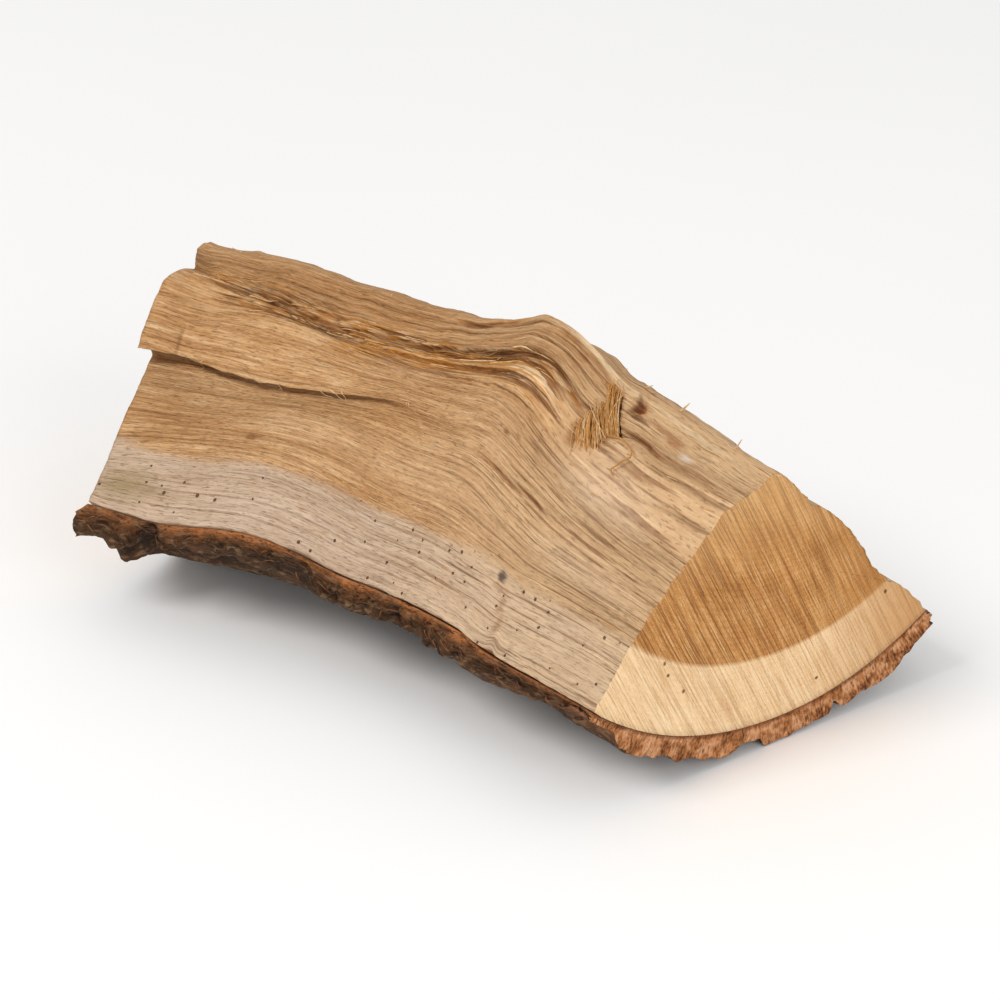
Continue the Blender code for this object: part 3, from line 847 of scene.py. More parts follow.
def bark_columns(sizes, station):
    """The bark's outline at each station: outside, back rim, inside, front rim.

    A rim goes straight through the bark, roughened by bundles of torn fibres that run along the log. Returns
    the section points, girth, depth, which is 0 next to the wood and 1 on the outside, and how deep the
    cracks are, which oak_bark paints as shade.
    """
    share = np.linspace(0.0, 1.0, BARK_COLUMNS)[None, :]
    run = station * sizes.log_length
    sunk = bark_plates(sizes, run, ROUND_GIRTH * share)
    outside = np.clip(bark_thickness(sizes, station, share) - sunk, THINNEST_BARK, None)
    fringed = outside + 0.0014 * layered(run / 0.006, 3.0, 121) * smooth_step(1.0 - share / 0.02)
    outer = round_side(station, share, GAP + fringed)
    inner = round_side(station, share[:, ::-1], GAP)
    layer = (np.arange(1, BARK_LAYERS + 1) / (BARK_LAYERS + 1))[None, :]

    def rim(end, turn, depth, seed):
        """One torn rim: its points between the inside and the outside, and how far each stands out."""
        points = round_side(station, share[:, [end]], GAP + fringed[:, [end]] * depth)
        angle = corner_angles(station)[end]
        thread = layered(run / 0.0058, depth * 8.0 + 0.8 * noise(run / 0.02, 0.0, seed), seed, 3)
        lumps = noise(run / 0.01, depth * 2.2, seed + 7)
        crumbs = layered(run / 0.003, depth * 9.0, seed + 3, 2)
        stand = 1.5 * thread + 0.8 * crumbs + 1.9 * lumps - 1.2 * smooth_step((depth - 0.3) / 0.25)
        stand = stand * turn * MM * np.sin(math.pi * depth) ** 0.5
        return points + section(-np.sin(angle) * stand, np.cos(angle) * stand), thread

    back, back_thread = rim(-1, 1.0, 1.0 - layer, 131)
    front, front_thread = rim(0, -1.0, layer, 141)
    points = side_by_side(outer, back, inner, front)
    points[..., 1] = np.maximum(points[..., 1], 0.0)
    depth = side_by_side(outside / along(BARK_THICKNESS, share), 1.0 - layer, 0.0 * share, layer)
    # crack_shade is painted shade: in the fissures outside, and between the fibre bundles of the rims.
    crack_shade = side_by_side(sunk / sizes.fissure - 0.55, -back_thread - 0.15, 0.0 * share, -front_thread - 0.15)
    once = ROUND_GIRTH + RIM_GIRTH
    around = (ROUND_GIRTH * share, ROUND_GIRTH + RIM_GIRTH * layer, once + ROUND_GIRTH * share)
    last = once + ROUND_GIRTH + RIM_GIRTH * np.append(layer, [[1.0]], axis=1)
    girth = side_by_side(*around, last)
    return points, girth, depth, np.clip(crack_shade, 0.0, 1.0)


def torn_bark_end(station, ring, ring_depth):
    """A bark end: layers from the outside in, torn into fibres that stand out or are missing.

    Its edge is the outline itself, and each inner point is a share of the way from the outer column to the
    inner one facing it.
    """
    far = station < 0.5
    outer, layers = np.arange(BARK_COLUMNS), np.arange(BARK_LAYERS)
    facing = BARK_COLUMNS + BARK_LAYERS + outer[::-1]
    share = np.linspace(0.0, 1.0, BARK_LAYERS + 2)[1:-1, None]
    points = (ring[outer] + (ring[facing] - ring[outer]) * share[..., None])[:, 1:-1]
    depth = (ring_depth[outer] * (1.0 - share))[:, 1:-1]
    column = np.linspace(0.0, 1.0, BARK_COLUMNS)[None, 1:-1]
    teeth = layered(column * 110.0, share * 3.0, 151 + int(station))
    teeth = teeth + 0.9 * noise(column * 26.0, share * 1.5, 157)
    rim = np.sin(math.pi * share) ** 0.4 * smooth_step(column * 60.0) * smooth_step((1.0 - column) * 60.0)
    stand = 0.45 * MM * teeth * rim
    if far:
        stand = stand * (1.0 + 4.0 * hump(column, 0.0, 0.1))
        stand = stand - 3.6 * MM * hump(column, 0.0, 0.06) * np.sin(math.pi * share) ** 0.5
    grid = np.empty((BARK_LAYERS + 2, BARK_COLUMNS), int)
    grid[0], grid[-1] = outer, facing
    grid[1:-1, -1], grid[1:-1, 0] = BARK_COLUMNS + layers, len(ring) - 1 - layers
    grid[1:-1, 1:-1] = len(ring) + np.arange(depth.size).reshape(depth.shape)
    sawn = np.where(far & (outer[:-1] < TORN_COLUMNS), 0, 1)
    return points.reshape(-1, 2), stand.ravel(), {"depth": depth.ravel()}, grid, sawn


def make_bark_mesh(sizes, materials):
    """The sheet of bark, cracked outside and torn at its rims and ends."""
    station = np.linspace(0.0, 1.0, BARK_STATIONS)[:, None]
    points, girth, depth, crack_shade = bark_columns(sizes, station)
    values = {"depth": depth, "crack_shade": crack_shade}

    def make_end(end, row):
        return torn_bark_end(end, points[row], depth[row])

    return add_log_piece("log_bark", sizes, points, girth, values, make_end, materials)


# Loose fibres.


def make_fibres(name, paths, radii, tone, material, sides=6):
    """Loose fibres, each a thin tapered tube along its path.

    paths holds each fibre's points, radii its radius at each of them, and tone how light each is. A ring of
    points lies square to the path at each of its points: the radius times cosine and sine of the ring's
    angle, along two directions square to the path. A tip closes each end.
    """
    count, steps = radii.shape
    tangent = np.gradient(paths, axis=1)
    tangent /= np.linalg.norm(tangent, axis=2, keepdims=True)
    one = np.cross(tangent, [0.3, 0.1, 0.95])
    one /= np.linalg.norm(one, axis=2, keepdims=True)
    other = np.cross(tangent, one)
    turn = np.linspace(0.0, 2.0 * math.pi, sides, endpoint=False)[:, None]
    ring = one[:, :, None] * np.cos(turn) + other[:, :, None] * np.sin(turn)
    tube = (paths[:, :, None] + ring * radii[:, :, None, None]).reshape(count, -1, 3)
    tips = paths[:, [0, -1]] + np.stack([-tangent[:, 0], tangent[:, -1]], axis=1) * radii[:, [0, -1], None]
    points = np.concatenate([tube, tips], axis=1)
    each = points.shape[1]
    grid = np.arange(steps * sides).reshape(steps, sides)
    grid = np.concatenate([np.full((1, sides), each - 2), grid, np.full((1, sides), each - 1)])
    quads = (cells(wrapped(grid)) + np.arange(count)[:, None, None] * each).reshape(-1, 4)
    uv, index, tones = np.zeros((len(quads), 4, 2)), np.zeros(len(quads)), {"tone": np.repeat(tone, each)}
    return add_mesh(name, points.reshape(-1, 3), quads, uv, tones, index, [material])


def over_face(sizes, starts, ends, lift, sink, bow):
    """Paths over the front face between pairs of (station, place), each on a smooth bow.

    The two ends lie on the swollen face, less sink. Between them the path is a straight line, raised by lift
    times a half wave, and bowed along the log by bow times another.
    """
    t = np.linspace(0.0, 1.0, FIBRE_STEPS)[:, None]
    station, place = np.moveaxis(np.stack([starts, ends], axis=1), -1, 0)
    out = swell(station, place) - sink
    points = down_face(ridge_front(sizes, station), front_corner(station), place, out)
    start, end = np.moveaxis(in_world(sizes, station, points), 1, 0)[:, :, None]
    away = lift[:, None, None] * np.array([0.0, *FACE_OUT]) + bow[:, None, None] * np.array([1.0, 0.0, 0.0])
    return start + (end - start) * t + away * np.sin(math.pi * t)


def off_face(sizes, station, place, away):
    """World places over points of the torn front face, each the given way off it."""
    points, *_ = front_point(sizes, station, place)
    return in_world(sizes, station, points + away[..., None] * FACE_OUT)


def make_torn_fibres(sizes, material):
    """The fan of fibres over the knot's pocket, the curled fibre below it, and splinters along the grain."""
    random = np.random.default_rng(21)
    groups = []

    def add(paths, widest, tip, darkest, lightest):
        """A group of paths, whose radius shrinks by a square root to a share of its widest at the tip."""
        t = np.linspace(0.0, 1.0, paths.shape[1])[None, :]
        tone = random.uniform(darkest, lightest, len(paths))
        groups.append((paths, widest[:, None] * (tip + (1.0 - tip) * np.sqrt(1.0 - t)), tone))

    def add_splinters(station, place, turn, lift, width, tones):
        """Splinters that follow the torn face from (station, place) by a turn, and rise towards their ends.

        lift and width are the ranges of the rise and the radius, in millimetres.
        """
        starts = np.stack([station, place], axis=1)
        ends = np.clip(starts + np.stack(turn, axis=1), 0.0, 0.99)
        rise = random.uniform(*lift, len(starts)) * MM
        t = np.linspace(0.0, 1.0, FIBRE_STEPS)
        line = starts[..., None] + (ends - starts)[..., None] * t
        paths = off_face(sizes, line[:, 0], line[:, 1], rise[:, None] * smooth_step(t))
        add(paths, random.uniform(*width, len(starts)) * MM, 0.2, *tones)

    for count, radius, spread, low, high, sink in FAN_LAYERS:
        order, knots = np.linspace(0.0, 1.0, count) * (len(FAN_TOPS) - 1), np.arange(len(FAN_TOPS))
        tops, bottoms = (
            np.stack([np.interp(order, knots, part) for part in zip(*ends)], axis=1)
            for ends in (FAN_TOPS, FAN_BOTTOMS)
        )
        tops = tops + random.normal(0.0, spread, (count, 2)) * [0.3, 2.0]
        bottoms = bottoms + random.normal(0.0, spread, (count, 2)) * [0.3, 1.0]
        lift = (random.uniform(low, high, count) + sink) * MM
        sunk = np.array([2.0, 1.0]) * sink * MM
        paths = over_face(sizes, tops, bottoms, lift, sunk, random.normal(0.0, 0.3 * MM, count))
        add(paths, radius * MM * random.uniform(0.4, 1.3, count), 0.45, 0.15, 0.95)

    t = np.linspace(0.0, 1.0, CURL_STEPS)
    station, place = (curve(list(enumerate(part)), t * (len(CURL) - 1.0)) for part in zip(*CURL))
    curled = off_face(sizes, station, place, 0.9 * MM + 1.2 * MM * np.sin(math.pi * t) ** 2)
    kept = np.linspace(0, CURL_STEPS - 1, FIBRE_STEPS).astype(int)
    add(curled[None, kept], np.array([0.33 * MM]), 0.6, 0.3, 0.3)

    many = GROOVE_SPLINTERS
    station = np.clip(random.normal(0.3, 0.15, many), 0.02, 0.66)
    place = np.clip(curve(MAIN_GROOVE[0], station) + random.normal(0.01, 0.03, many), 0.02, 0.4)
    turn = random.uniform(0.02, 0.08, many), random.normal(0.0, 0.007, many)
    add_splinters(station, place, turn, (0.0, 0.7), (0.14, 0.42), (0.1, 0.9))

    many = LEDGE_SPLINTERS
    station = random.uniform(0.06, 0.42, many)
    turn = random.uniform(-0.01, 0.022, many), random.uniform(0.012, 0.034, many)
    add_splinters(station, ledge_place(station) - 0.012, turn, (0.2, 1.0), (0.09, 0.17), (0.6, 1.0))

    many = FACE_SPLINTERS
    station, place = random.uniform(0.02, 0.97, many), random.uniform(0.02, 0.95, many)
    turn = random.uniform(0.008, 0.03, many), random.normal(0.0, 0.004, many)
    add_splinters(station, place, turn, (0.3, 1.1), (0.08, 0.16), (0.4, 1.0))

    station, reach, radius = map(np.array, zip(*RIDGE_SPLINTERS))
    root = ridge_front(sizes, station) + section(0.0, ridge_bumps(sizes, station))
    t = np.linspace(0.0, 1.0, FIBRE_STEPS)[:, None]
    behind = np.array([0.0, ROOT_DEPTH, 0.0])
    paths = in_world(sizes, station, root)[:, None] + reach[:, None] * MM * t + behind * (1.0 - t)
    add(paths, radius * MM, 0.25, 0.9, 1.0)

    paths, radii, tone = (np.concatenate(part) for part in zip(*groups))
    return make_fibres("torn_fibres", paths, radii, tone, material)


def make_bark_fibres(sizes, material):
    """Bast fibres that hang out of the bark's torn front rim."""
    random = np.random.default_rng(23)
    many = BAST_FIBRES
    station = np.sort(random.uniform(0.0, 0.98, many))[:, None]
    depth = random.uniform(0.05, 0.75, many)[:, None]
    t = np.linspace(0.0, 1.0, 10)[None, :]
    place = np.clip(station + random.normal(0.0, 0.02, many)[:, None] * t, 0.0, 1.0)
    thick = bark_thickness(sizes, station, 0.0) - 0.5 * sizes.fissure
    points = round_side(place, 0.0, GAP + thick * np.clip(depth + 0.15 * t, 0.0, 0.95))
    angle, _ = corner_angles(place)
    stand = random.uniform(0.6 * MM, 2.4 * MM, many)[:, None] * np.sin(math.pi * (0.15 + 0.7 * t))
    droop = random.uniform(0.0, 2.0 * MM, many)[:, None] * t**2
    points = points + section(np.sin(angle) * stand, -np.cos(angle) * stand - droop)
    points[..., 1] = np.maximum(points[..., 1], 0.5 * MM)
    radius = random.uniform(0.06 * MM, 0.2 * MM, many)[:, None] * (1.0 - 0.85 * t)
    tone = random.uniform(0.1, 0.8, many)
    return make_fibres("bark_fibres", in_world(sizes, place, points), radius, tone, material)


# Finishes.


def put(tree, kind, inputs=(), output=0, **settings):
    """Adds a shader node and returns one of its outputs.

    inputs are given by place or by name. An output among them is linked, and anything else is set.
    """
    node = tree.nodes.new("ShaderNode" + kind)
    for name, value in settings.items():
        setattr(node, name, value)
    sockets = [socket for socket in node.inputs if socket.enabled]
    named = {socket.name: socket for socket in reversed(sockets)}
    for place, value in inputs.items() if isinstance(inputs, dict) else enumerate(inputs):
        socket = named[place] if isinstance(place, str) else sockets[place]
        if isinstance(value, bpy.types.NodeSocket):
            tree.links.new(value, socket)
        else:
            socket.default_value = value
    return [found for found in node.outputs if found.enabled][output]


def new_finish(name, roughness):
    """An empty material and its shader, with the gloss set on the shader's own sockets."""
    material = bpy.data.materials.new(name)
    material.use_nodes = True
    shader = material.node_tree.nodes["Principled BSDF"]
    for socket, value in (("Roughness", roughness), ("IOR", 1.5), ("Specular IOR Level", 0.3)):
        shader.inputs[socket].default_value = value
    return material, material.node_tree, shader


def finish(tree, shader, colour_output, height_output, depth):
    """Links the colour, and a bump whose full height is depth."""
    tree.links.new(colour_output, shader.inputs["Base Color"])
    bump = put(tree, "Bump", {"Strength": 1.0, "Distance": depth, "Height": height_output})
    tree.links.new(bump, shader.inputs["Normal"])


def streaks(tree, place, size, low=0.32, high=0.68, detail=2.0, turn=0.0, shift=0.0):
    """Random streaks from 0 to 1. size is one streak's length and width, and turn its direction in degrees.

    A size of three numbers makes specks in a solid. Streaks of one size with another shift are other streaks.
    """
    spread = {
        "Vector": place, "Location": (shift, shift, shift), "Rotation": (0.0, 0.0, math.radians(turn)),
        "Scale": (*size, 1.0)[:3],
    }
    spread = put(tree, "Mapping", spread, vector_type="TEXTURE")
    waves = put(tree, "TexNoise", {"Vector": spread, "Scale": 1.0, "Detail": detail})
    return put(tree, "MapRange", (waves, low, high, 0.0, 1.0))


def weighted(tree, *pairs):
    """The sum of outputs, each times its weight, which may be an output too."""
    total = 0.0
    for output, weight in pairs:
        total = put(tree, "Math", (output, weight, total), operation="MULTIPLY_ADD")
    return total


def coated(tree, under, *coats):
    """Lays colours over another in turn. A coat is an amount, a strength that multiplies it, and a colour."""
    for amount, strength, paint in coats:
        factor = weighted(tree, (amount, strength))
        under = put(tree, "Mix", (factor, under, (*paint, 1.0)), data_type="RGBA")
    return under


def three_colours(tree, amount, dark, middle, light):
    """Goes through three colours as amount goes from 0 to 1."""
    low = put(tree, "MapRange", (amount, 0.0, 0.5, 0.0, 1.0))
    high = put(tree, "MapRange", (amount, 0.5, 1.0, 0.0, 1.0))
    return coated(tree, (*dark, 1.0), (low, 1.0, middle), (high, 1.0, light))


def shades(colours, name):
    """The dark, middle and light shades of a colour."""
    return [getattr(colours, name + shade) for shade in ("_dark", "", "_light")]


def mark(tree, place, centre, size, soft=0.6):
    """An oval mark of the given half length and half width: 1 at its centre, and 0 outside a ragged edge."""
    spread = {"Vector": place, "Location": (*centre, 0.0), "Scale": (*size, 1.0)}
    inside = put(tree, "Mapping", spread, vector_type="TEXTURE")
    away = put(tree, "VectorMath", (inside,), operation="LENGTH")
    ragged = weighted(tree, (away, 1.0), (streaks(tree, place, (0.004, 0.0008)), 0.35))
    return put(tree, "MapRange", (ragged, 1.0 - soft, 1.3, 1.0, 0.0))


def insect_holes(tree, place, width, share):
    """Round holes of wood beetles, one to a cell at most, in a share of the cells. Returns 1 inside one."""
    spread = {"Vector": place, "Scale": (HOLE_CELL, HOLE_CELL, 1.0)}
    spread = put(tree, "Mapping", spread, vector_type="TEXTURE")
    settings = {"Vector": spread, "Scale": 1.0, "Randomness": 1.0}
    away = put(tree, "TexVoronoi", settings, voronoi_dimensions="2D")
    chance = put(tree, "TexVoronoi", settings, output=1, voronoi_dimensions="2D")
    red, green = (put(tree, "SeparateColor", (chance,), output=part) for part in (0, 1))
    varied = put(tree, "MapRange", (green, 0.0, 1.0, 0.75, 1.45))
    edge = width / 2.0 / HOLE_CELL
    hole = put(tree, "MapRange", (weighted(tree, (away, varied)), edge * 0.75, edge * 1.2, 1.0, 0.0))
    return weighted(tree, (hole, put(tree, "Math", (red, share), operation="LESS_THAN")))


def about_pith(tree, place):
    """How far across and up from the pith, the distance to it, and the (distance, angle) that rays follow."""
    pith = put(tree, "VectorMath", (place, (*PITH, 0.0)), operation="SUBTRACT")
    radius = put(tree, "VectorMath", (pith,), operation="LENGTH")
    across, up = (put(tree, "SeparateXYZ", (pith,), output=part) for part in (0, 1))
    angle = put(tree, "Math", (across, up), operation="ARCTAN2")
    return across, up, radius, put(tree, "CombineXYZ", (radius, angle, 0.0))


def split_oak(sizes, colours):
    """Oak split along its grain and left to dry.

    The split leaves long fibres that catch the light as fine streaks. Dust dulls the pale sapwood, freshly
    torn wood shows orange in the grooves, and the pores are short dark dashes. The shade in cracks, hollows
    and holes, and the highlights on torn wood, are painted.
    """
    material, tree, shader = new_finish("split_oak", 0.78)
    place = put(tree, "UVMap", uv_map="grain")
    run = put(tree, "SeparateXYZ", (place,))
    names = ("torn", "dark", "under_bark")
    torn, dark, under_bark = (put(tree, "Attribute", output=2, attribute_name=name) for name in names)
    threads = streaks(tree, place, (0.009, 0.00034), 0.37, 0.63)
    fibres = streaks(tree, place, (0.034, 0.00095), 0.37, 0.63, detail=3.0)
    bands = streaks(tree, place, (0.12, 0.0042))
    patches = streaks(tree, place, (0.045, 0.013), detail=3.0, shift=0.31)
    lines = streaks(tree, place, (0.07, 0.0011), 0.6, 0.69, shift=0.17)
    pores = streaks(tree, place, (0.0042, 0.00032), 0.6, 0.68, shift=0.05)
    fuzz = streaks(tree, place, (0.0016, 0.00045), 0.3, 0.7, shift=0.09)
    seams = streaks(tree, place, (0.038, 0.00095), 0.57, 0.64, detail=4.0, shift=0.23)
    glints = streaks(tree, place, (0.03, 0.0005), 0.6, 0.7, shift=0.37)
    torn_highlights = streaks(tree, place, (0.01, 0.0005), 0.5, 0.57, detail=3.0, shift=0.43)
    tears = streaks(tree, place, (0.034, 0.0013), 0.53, 0.58, detail=4.0, shift=0.51)
    amount = weighted(tree, (threads, 0.24), (fibres, 0.24), (bands, 0.16), (patches, 0.2), (fuzz, 0.16))
    bolder = weighted(tree, (amount, 1.32), (1.0, -0.16))
    heart = three_colours(tree, bolder, *shades(colours, "heart"))
    sap = three_colours(tree, amount, *shades(colours, "sap"))
    inside = weighted(tree, (under_bark, 1.0), (bands, 0.0022), (fibres, 0.0016))
    is_sap = put(tree, "MapRange", (inside, sizes.sapwood + 0.0038, sizes.sapwood + 0.0006, 0.0, 1.0))
    bleached = put(tree, "MapRange", (run, 0.11, 0.2, 0.0, 0.5))
    fresh = put(tree, "Clamp", (weighted(tree, (torn, weighted(tree, (fibres, 0.684), (0.38, 1.0)))),))
    rougher = put(tree, "MapRange", (run, 0.09, 0.17, 0.16, 0.64))
    rougher = weighted(tree, (rougher, 1.0), (torn, 0.4))
    opened = put(tree, "MapRange", (torn, 0.3, 0.75, 0.0, 0.78))
    seams, glints = (weighted(tree, (kind, rougher)) for kind in (seams, glints))
    tears = weighted(tree, (tears, opened))
    holes = weighted(tree, (insect_holes(tree, place, sizes.hole, 0.33), is_sap))
    colour_now = coated(
        tree,
        put(tree, "Mix", (is_sap, heart, sap), data_type="RGBA"),
        (bleached, 1.0, colours.heart_light),
        (fresh, 1.0, colours.torn),
        # Painted highlights: pale threads over the torn wood.
        (weighted(tree, (torn_highlights, torn)), 0.6, colours.fibre_light),
        (lines, 0.42, colours.heart_dark),
        (glints, 1.0, colours.end_sap),
        (seams, 1.0, colours.pore),
        (tears, 1.0, colours.pore),
        (pores, 0.45, colours.pore),
        # Painted shade from the dark attribute: cracks, grooves, hollows, lips, steps and the ledge.
        (dark, 0.85, colours.crack_shade),
    )
    for station, down, half_length, half_width, strength, paint in FACE_MARKS:
        centre = (station * sizes.log_length, grain_place(station, down) * FACE_WIDTH)
        patch = mark(tree, place, centre, (half_length * MM, half_width * MM), 0.9 - 0.6 * strength)
        colour_now = coated(tree, colour_now, (patch, strength, linear(paint)))
    # Painted shade inside the insect holes.
    colour_now = coated(tree, colour_now, (holes, 0.92, colours.crack_shade))
    proud = ((threads, 0.45), (fibres, 0.75), (fuzz, 0.15))
    sunk = ((lines, -0.6), (seams, -0.8), (tears, -2.0), (pores, -0.6), (holes, -4.0))
    finish(tree, shader, colour_now, weighted(tree, *proud, *sunk), 0.26 * MM)
    return material


def sawn_oak(sizes, colours):
    """Oak end grain, cut with a coarse chain saw.

    The teeth leave slanting marks, rubbed light and dark. Between them the pores are fine dark dots, with
    faint growth rings about the pith and fainter rays from it. The heartwood is tan and the sapwood pale.
    """
    material, tree, shader = new_finish("sawn_oak", 0.85)
    place = put(tree, "UVMap", uv_map="grain")
    marks = streaks(tree, place, (0.06, sizes.saw_pitch), 0.37, 0.63, turn=SAW_LEAN - 2.0)
    scratches = streaks(tree, place, (0.02, 0.00055), 0.36, 0.64, turn=SAW_LEAN - 2.0, detail=3.0)
    cuts = streaks(tree, place, (0.04, 0.00055), 0.55, 0.62, turn=SAW_LEAN, shift=0.4)
    crossing = streaks(tree, place, (0.03, 0.001), 0.6, 0.68, turn=SAW_LEAN - 12.0, shift=0.7)
    fluff = streaks(tree, place, (0.005, 0.0007), 0.56, 0.68, turn=SAW_LEAN + 4.0, shift=0.2)
    blotches = streaks(tree, place, (0.018, 0.014), detail=3.0)
    dots = streaks(tree, place, (0.00045, 0.0004), 0.35, 0.6, 1.0)
    across, up, radius, around = about_pith(tree, place)
    rings = put(tree, "Math", (weighted(tree, (radius, 2.0 * math.pi / RING_WIDTH)),), operation="SINE")
    rays = streaks(tree, around, (0.025, 0.01), 0.45, 0.65)
    fine = ((scratches, 0.28), (dots, 0.22), (fluff, 0.14), (rays, 0.06), (rings, 0.03))
    amount = weighted(tree, (marks, 0.2), (blotches, 0.24), *fine)
    amount = weighted(tree, (amount, 1.25), (1.0, -0.125))
    deeper = put(tree, "MapRange", (across, -0.02, 0.035, 0.74, 0.32))
    heart = three_colours(tree, amount, *shades(colours, "end_heart"))
    cut_dark = weighted(tree, (cuts, deeper), (crossing, 0.16))
    heart = coated(tree, heart, (cut_dark, 1.0, colours.end_heart_dark))
    sap = three_colours(tree, amount, *shades(colours, "end_sap"))
    sap = coated(tree, sap, (weighted(tree, (cuts, 0.26), (crossing, 0.16)), 1.0, colours.end_heart))
    under_bark = put(tree, "Attribute", output=2, attribute_name="under_bark")
    is_sap = put(tree, "MapRange", (under_bark, sizes.sapwood + 0.0012, sizes.sapwood - 0.0006, 0.0, 1.0))
    colour_now = coated(
        tree,
        put(tree, "Mix", (is_sap, heart, sap), data_type="RGBA"),
        # Painted light: the sawn end is lighter towards its top.
        (put(tree, "MapRange", (up, -0.064, -0.03, 0.0, 0.55)), 1.0, colours.end_heart_light),
        # Painted shade: the sawn end is darker towards its back edge.
        (put(tree, "MapRange", (across, 0.012, 0.056, 0.0, 0.75)), 1.0, colours.end_heart),
    )
    for *centre, width in END_HOLES:
        hole = mark(tree, place, centre, (width * 0.6, width * 0.6), 0.3)
        # Painted shade inside each insect hole of the near end.
        colour_now = coated(tree, colour_now, (hole, 0.9, colours.crack_shade))
    proud = ((marks, 0.4), (scratches, 0.35), (dots, 0.35), (fluff, 0.4))
    finish(tree, shader, colour_now, weighted(tree, *proud, (cuts, -0.7), (crossing, -0.3)), 0.22 * MM)
    return material


def oak_bark(colours):
    """Young oak bark: red-brown and fibrous next to the wood, corky and then grey-brown outside.

    Its torn rims show bundles of fibres, lighter and redder inside. Its outside is dull, dusty and cracked.
    """
    material, tree, shader = new_finish("oak_bark", 0.92)
    place = put(tree, "UVMap", uv_map="grain")
    solid = put(tree, "TexCoord", output=3)
    depth, crack_shade = (put(tree, "Attribute", output=2, attribute_name=name) for name in ("depth", "crack_shade"))
    bundles = streaks(tree, place, (0.007, 0.0007), detail=3.0)
    crumbs = streaks(tree, solid, (0.0015, 0.0015, 0.0015), 0.36, 0.64, detail=3.0)
    flakes = streaks(tree, solid, (0.0042, 0.0024, 0.0016), 0.52, 0.62, detail=3.0)
    patches = streaks(tree, solid, (0.012, 0.012, 0.012), detail=3.0)
    amount = weighted(tree, (depth, 1.45), (bundles, 0.34), (crumbs, 0.44), (patches, 0.66), (1.0, -0.72))
    pit_shade = put(tree, "MapRange", (weighted(tree, (bundles, 0.6), (crumbs, 0.4)), 0.45, 0.15, 0.0, 1.0))
    colour_now = coated(
        tree,
        three_colours(tree, amount, colours.bark_inner, colours.bark_middle, colours.bark_outer),
        (flakes, 0.36, colours.bark_dust),
        # Painted shade in the pits and the fissures of the bark.
        (pit_shade, 0.88, colours.bark_deep),
        (crack_shade, 0.85, colours.bark_deep),
    )
    finish(tree, shader, colour_now, weighted(tree, (bundles, 0.5), (crumbs, 0.5)), 0.7 * MM)
    return material


def sawn_bark(colours):
    """Oak bark cut across with a saw: light where the cut is fresh, with dark specks and radial cracks."""
    material, tree, shader = new_finish("sawn_bark", 0.92)
    solid = put(tree, "TexCoord", output=3)
    depth = put(tree, "Attribute", output=2, attribute_name="depth")
    *_, around = about_pith(tree, put(tree, "UVMap", uv_map="grain"))
    radial = streaks(tree, around, (0.0026, 0.007), 0.4, 0.6, detail=3.0)
    cracks = streaks(tree, around, (0.004, 0.011), 0.6, 0.68, shift=0.3)
    specks = streaks(tree, solid, (0.0016, 0.0016, 0.0016), 0.38, 0.62, detail=3.0)
    patches = streaks(tree, solid, (0.0055, 0.0055, 0.0055), 0.38, 0.62, detail=3.0)
    amount = weighted(tree, (radial, 0.38), (specks, 0.24), (patches, 0.62), (depth, -0.16))
    colour_now = coated(
        tree,
        three_colours(tree, amount, *shades(colours, "bark_cut")),
        # Painted shade in the radial cracks of the sawn bark.
        (cracks, 0.65, colours.bark_deep),
        (put(tree, "MapRange", (depth, 0.13, 0.05, 0.0, 0.55)), 1.0, colours.bark_cut_dark),
    )
    finish(tree, shader, colour_now, weighted(tree, (radial, 0.5), (specks, 0.5)), 0.6 * MM)
    return material


def oak_fibre(name, dark, middle, light):
    """Loose oak fibres: bare and dry, from brown to pale, with a little streaking along each."""
    material, tree, shader = new_finish(name, 0.7)
    flecks = streaks(tree, put(tree, "TexCoord", output=3), (0.003, 0.0005))
    tone = put(tree, "Attribute", output=2, attribute_name="tone")
    amount = weighted(tree, (tone, 0.7), (flecks, 0.3))
    finish(tree, shader, three_colours(tree, amount, dark, middle, light), flecks, 0.1 * MM)
    return material


def pale_floor(colours):
    """Matt white studio board, with a trace of unevenness."""
    material, tree, shader = new_finish("pale_floor", 0.95)
    cloudy = streaks(tree, put(tree, "TexCoord", output=3), (0.4, 0.4))
    dull = [0.985 * part for part in colours.floor]
    colour_now = coated(tree, (*colours.floor, 1.0), (cloudy, 1.0, dull))
    tree.links.new(colour_now, shader.inputs["Base Color"])
    return material


# The stage.


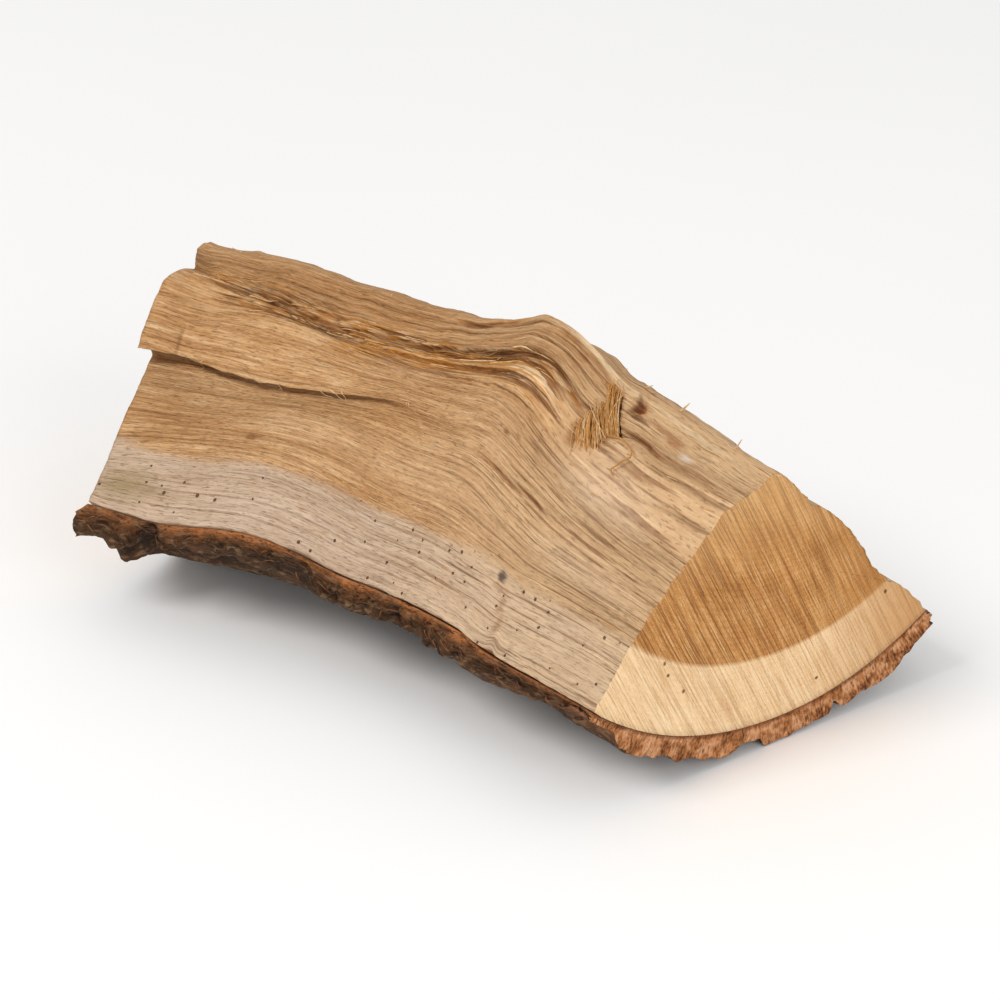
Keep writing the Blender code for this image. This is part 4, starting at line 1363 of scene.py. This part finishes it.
def make_stage(colours):
    """The floor, a soft key light, a weaker fill, a pale surround and the camera."""
    half = FLOOR_SIZE / 2.0
    corners = np.array([[-half, -half, 0.0], [half, -half, 0.0], [half, half, 0.0], [-half, half, 0.0]])
    data = bpy.data.meshes.new("floor")
    data.from_pydata((corners - [0.0, 0.0, FLOOR_GAP]).tolist(), [], [(0, 1, 2, 3)])
    data.materials.append(pale_floor(colours))
    floor = bpy.data.objects.new("floor", data)
    scene = bpy.context.scene
    scene.collection.objects.link(floor)

    for name, place, size, power, tint in LIGHTS:
        light = bpy.data.lights.new(name, "AREA")
        light.shape, light.size, light.energy, light.color = "DISK", size, power, tint
        lamp = bpy.data.objects.new(name, light)
        lamp.location = place
        aim = Vector(CAMERA_TARGET) - Vector(place)
        lamp.rotation_euler = aim.to_track_quat("-Z", "Y").to_euler()
        scene.collection.objects.link(lamp)

    world = bpy.data.worlds.new("surround")
    world.use_nodes = True
    background = world.node_tree.nodes["Background"]
    background.inputs["Color"].default_value = (1.0, 1.0, 1.0, 1.0)
    background.inputs["Strength"].default_value = SURROUND_STRENGTH
    scene.world = world

    camera_data = bpy.data.cameras.new("camera")
    camera_data.lens = CAMERA_LENS
    camera = bpy.data.objects.new("camera", camera_data)
    back = Vector(CAMERA_BACK)
    camera.location = Vector(CAMERA_TARGET) + back * CAMERA_DISTANCE
    camera.rotation_euler = (-back).to_track_quat("-Z", "Y").to_euler()
    scene.collection.objects.link(camera)
    scene.camera = camera
    scene.view_settings.view_transform = "Standard"


# The add-on.


def join_frame(piece, slot, *nodes):
    """Makes a piece ride on the log, and hides the plain nodes it stands for. Its slot is not used."""
    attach(piece, "root")
    if nodes:
        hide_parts(*nodes)


class LOG_OT_wood(bpy.types.Operator):
    """Build the wedge of wood, torn on its split faces and sawn at its ends"""

    bl_idname = "log.wood"
    bl_label = "Wood"

    def execute(self, context):
        sizes, colours = context.scene.log_sizes, context.scene.log_colours
        piece = make_wood_mesh(sizes, [split_oak(sizes, colours), sawn_oak(sizes, colours)])
        join_frame(piece, "wood", "wood")
        return {"FINISHED"}


class LOG_OT_bark(bpy.types.Operator):
    """Build the sheet of bark, cracked outside and torn at its rims"""

    bl_idname = "log.bark"
    bl_label = "Bark"

    def execute(self, context):
        sizes, colours = context.scene.log_sizes, context.scene.log_colours
        piece = make_bark_mesh(sizes, [oak_bark(colours), sawn_bark(colours)])
        join_frame(piece, "bark", "bark")
        return {"FINISHED"}


class LOG_OT_fibres(bpy.types.Operator):
    """Build the loose fibres of the torn knot, the grooves and the bark's rim"""

    bl_idname = "log.fibres"
    bl_label = "Loose fibres"

    def execute(self, context):
        sizes, colours = context.scene.log_sizes, context.scene.log_colours
        torn = oak_fibre("torn_oak_fibre", *shades(colours, "fibre"))
        bast = oak_fibre("bast_fibre", colours.bark_deep, colours.bark_middle, colours.bark_inner)
        join_frame(make_torn_fibres(sizes, torn), "wood")
        join_frame(make_bark_fibres(sizes, bast), "bark")
        return {"FINISHED"}


class LOG_OT_stage(bpy.types.Operator):
    """Set the pale floor, the soft lights and the camera"""

    bl_idname = "log.stage"
    bl_label = "Stage"

    def execute(self, context):
        make_stage(context.scene.log_colours)
        return {"FINISHED"}


OPERATORS = (LOG_OT_wood, LOG_OT_bark, LOG_OT_fibres, LOG_OT_stage)


class LOG_PT_panel(bpy.types.Panel):
    """Lists what the add-on builds and the values it builds from"""

    bl_label = "Split log"
    bl_idname = "LOG_PT_panel"
    bl_space_type = "VIEW_3D"
    bl_region_type = "UI"
    bl_category = "Log"

    def draw(self, context):
        for operator in OPERATORS:
            self.layout.operator(operator.bl_idname)
        for group in (context.scene.log_sizes, context.scene.log_colours):
            for name in group.bl_rna.properties.keys():
                if name not in ("rna_type", "name"):
                    self.layout.prop(group, name)


CLASSES = (LogSizes, LogColours, *OPERATORS, LOG_PT_panel)


def register():
    for kind in CLASSES:
        bpy.utils.register_class(kind)
    bpy.types.Scene.log_sizes = bpy.props.PointerProperty(type=LogSizes)
    bpy.types.Scene.log_colours = bpy.props.PointerProperty(type=LogColours)


def unregister():
    del bpy.types.Scene.log_colours
    del bpy.types.Scene.log_sizes
    for kind in reversed(CLASSES):
        bpy.utils.unregister_class(kind)


def main():
    register()
    for build in (bpy.ops.log.wood, bpy.ops.log.bark, bpy.ops.log.fibres, bpy.ops.log.stage):
        build()


if __name__ == "__main__":
    main()
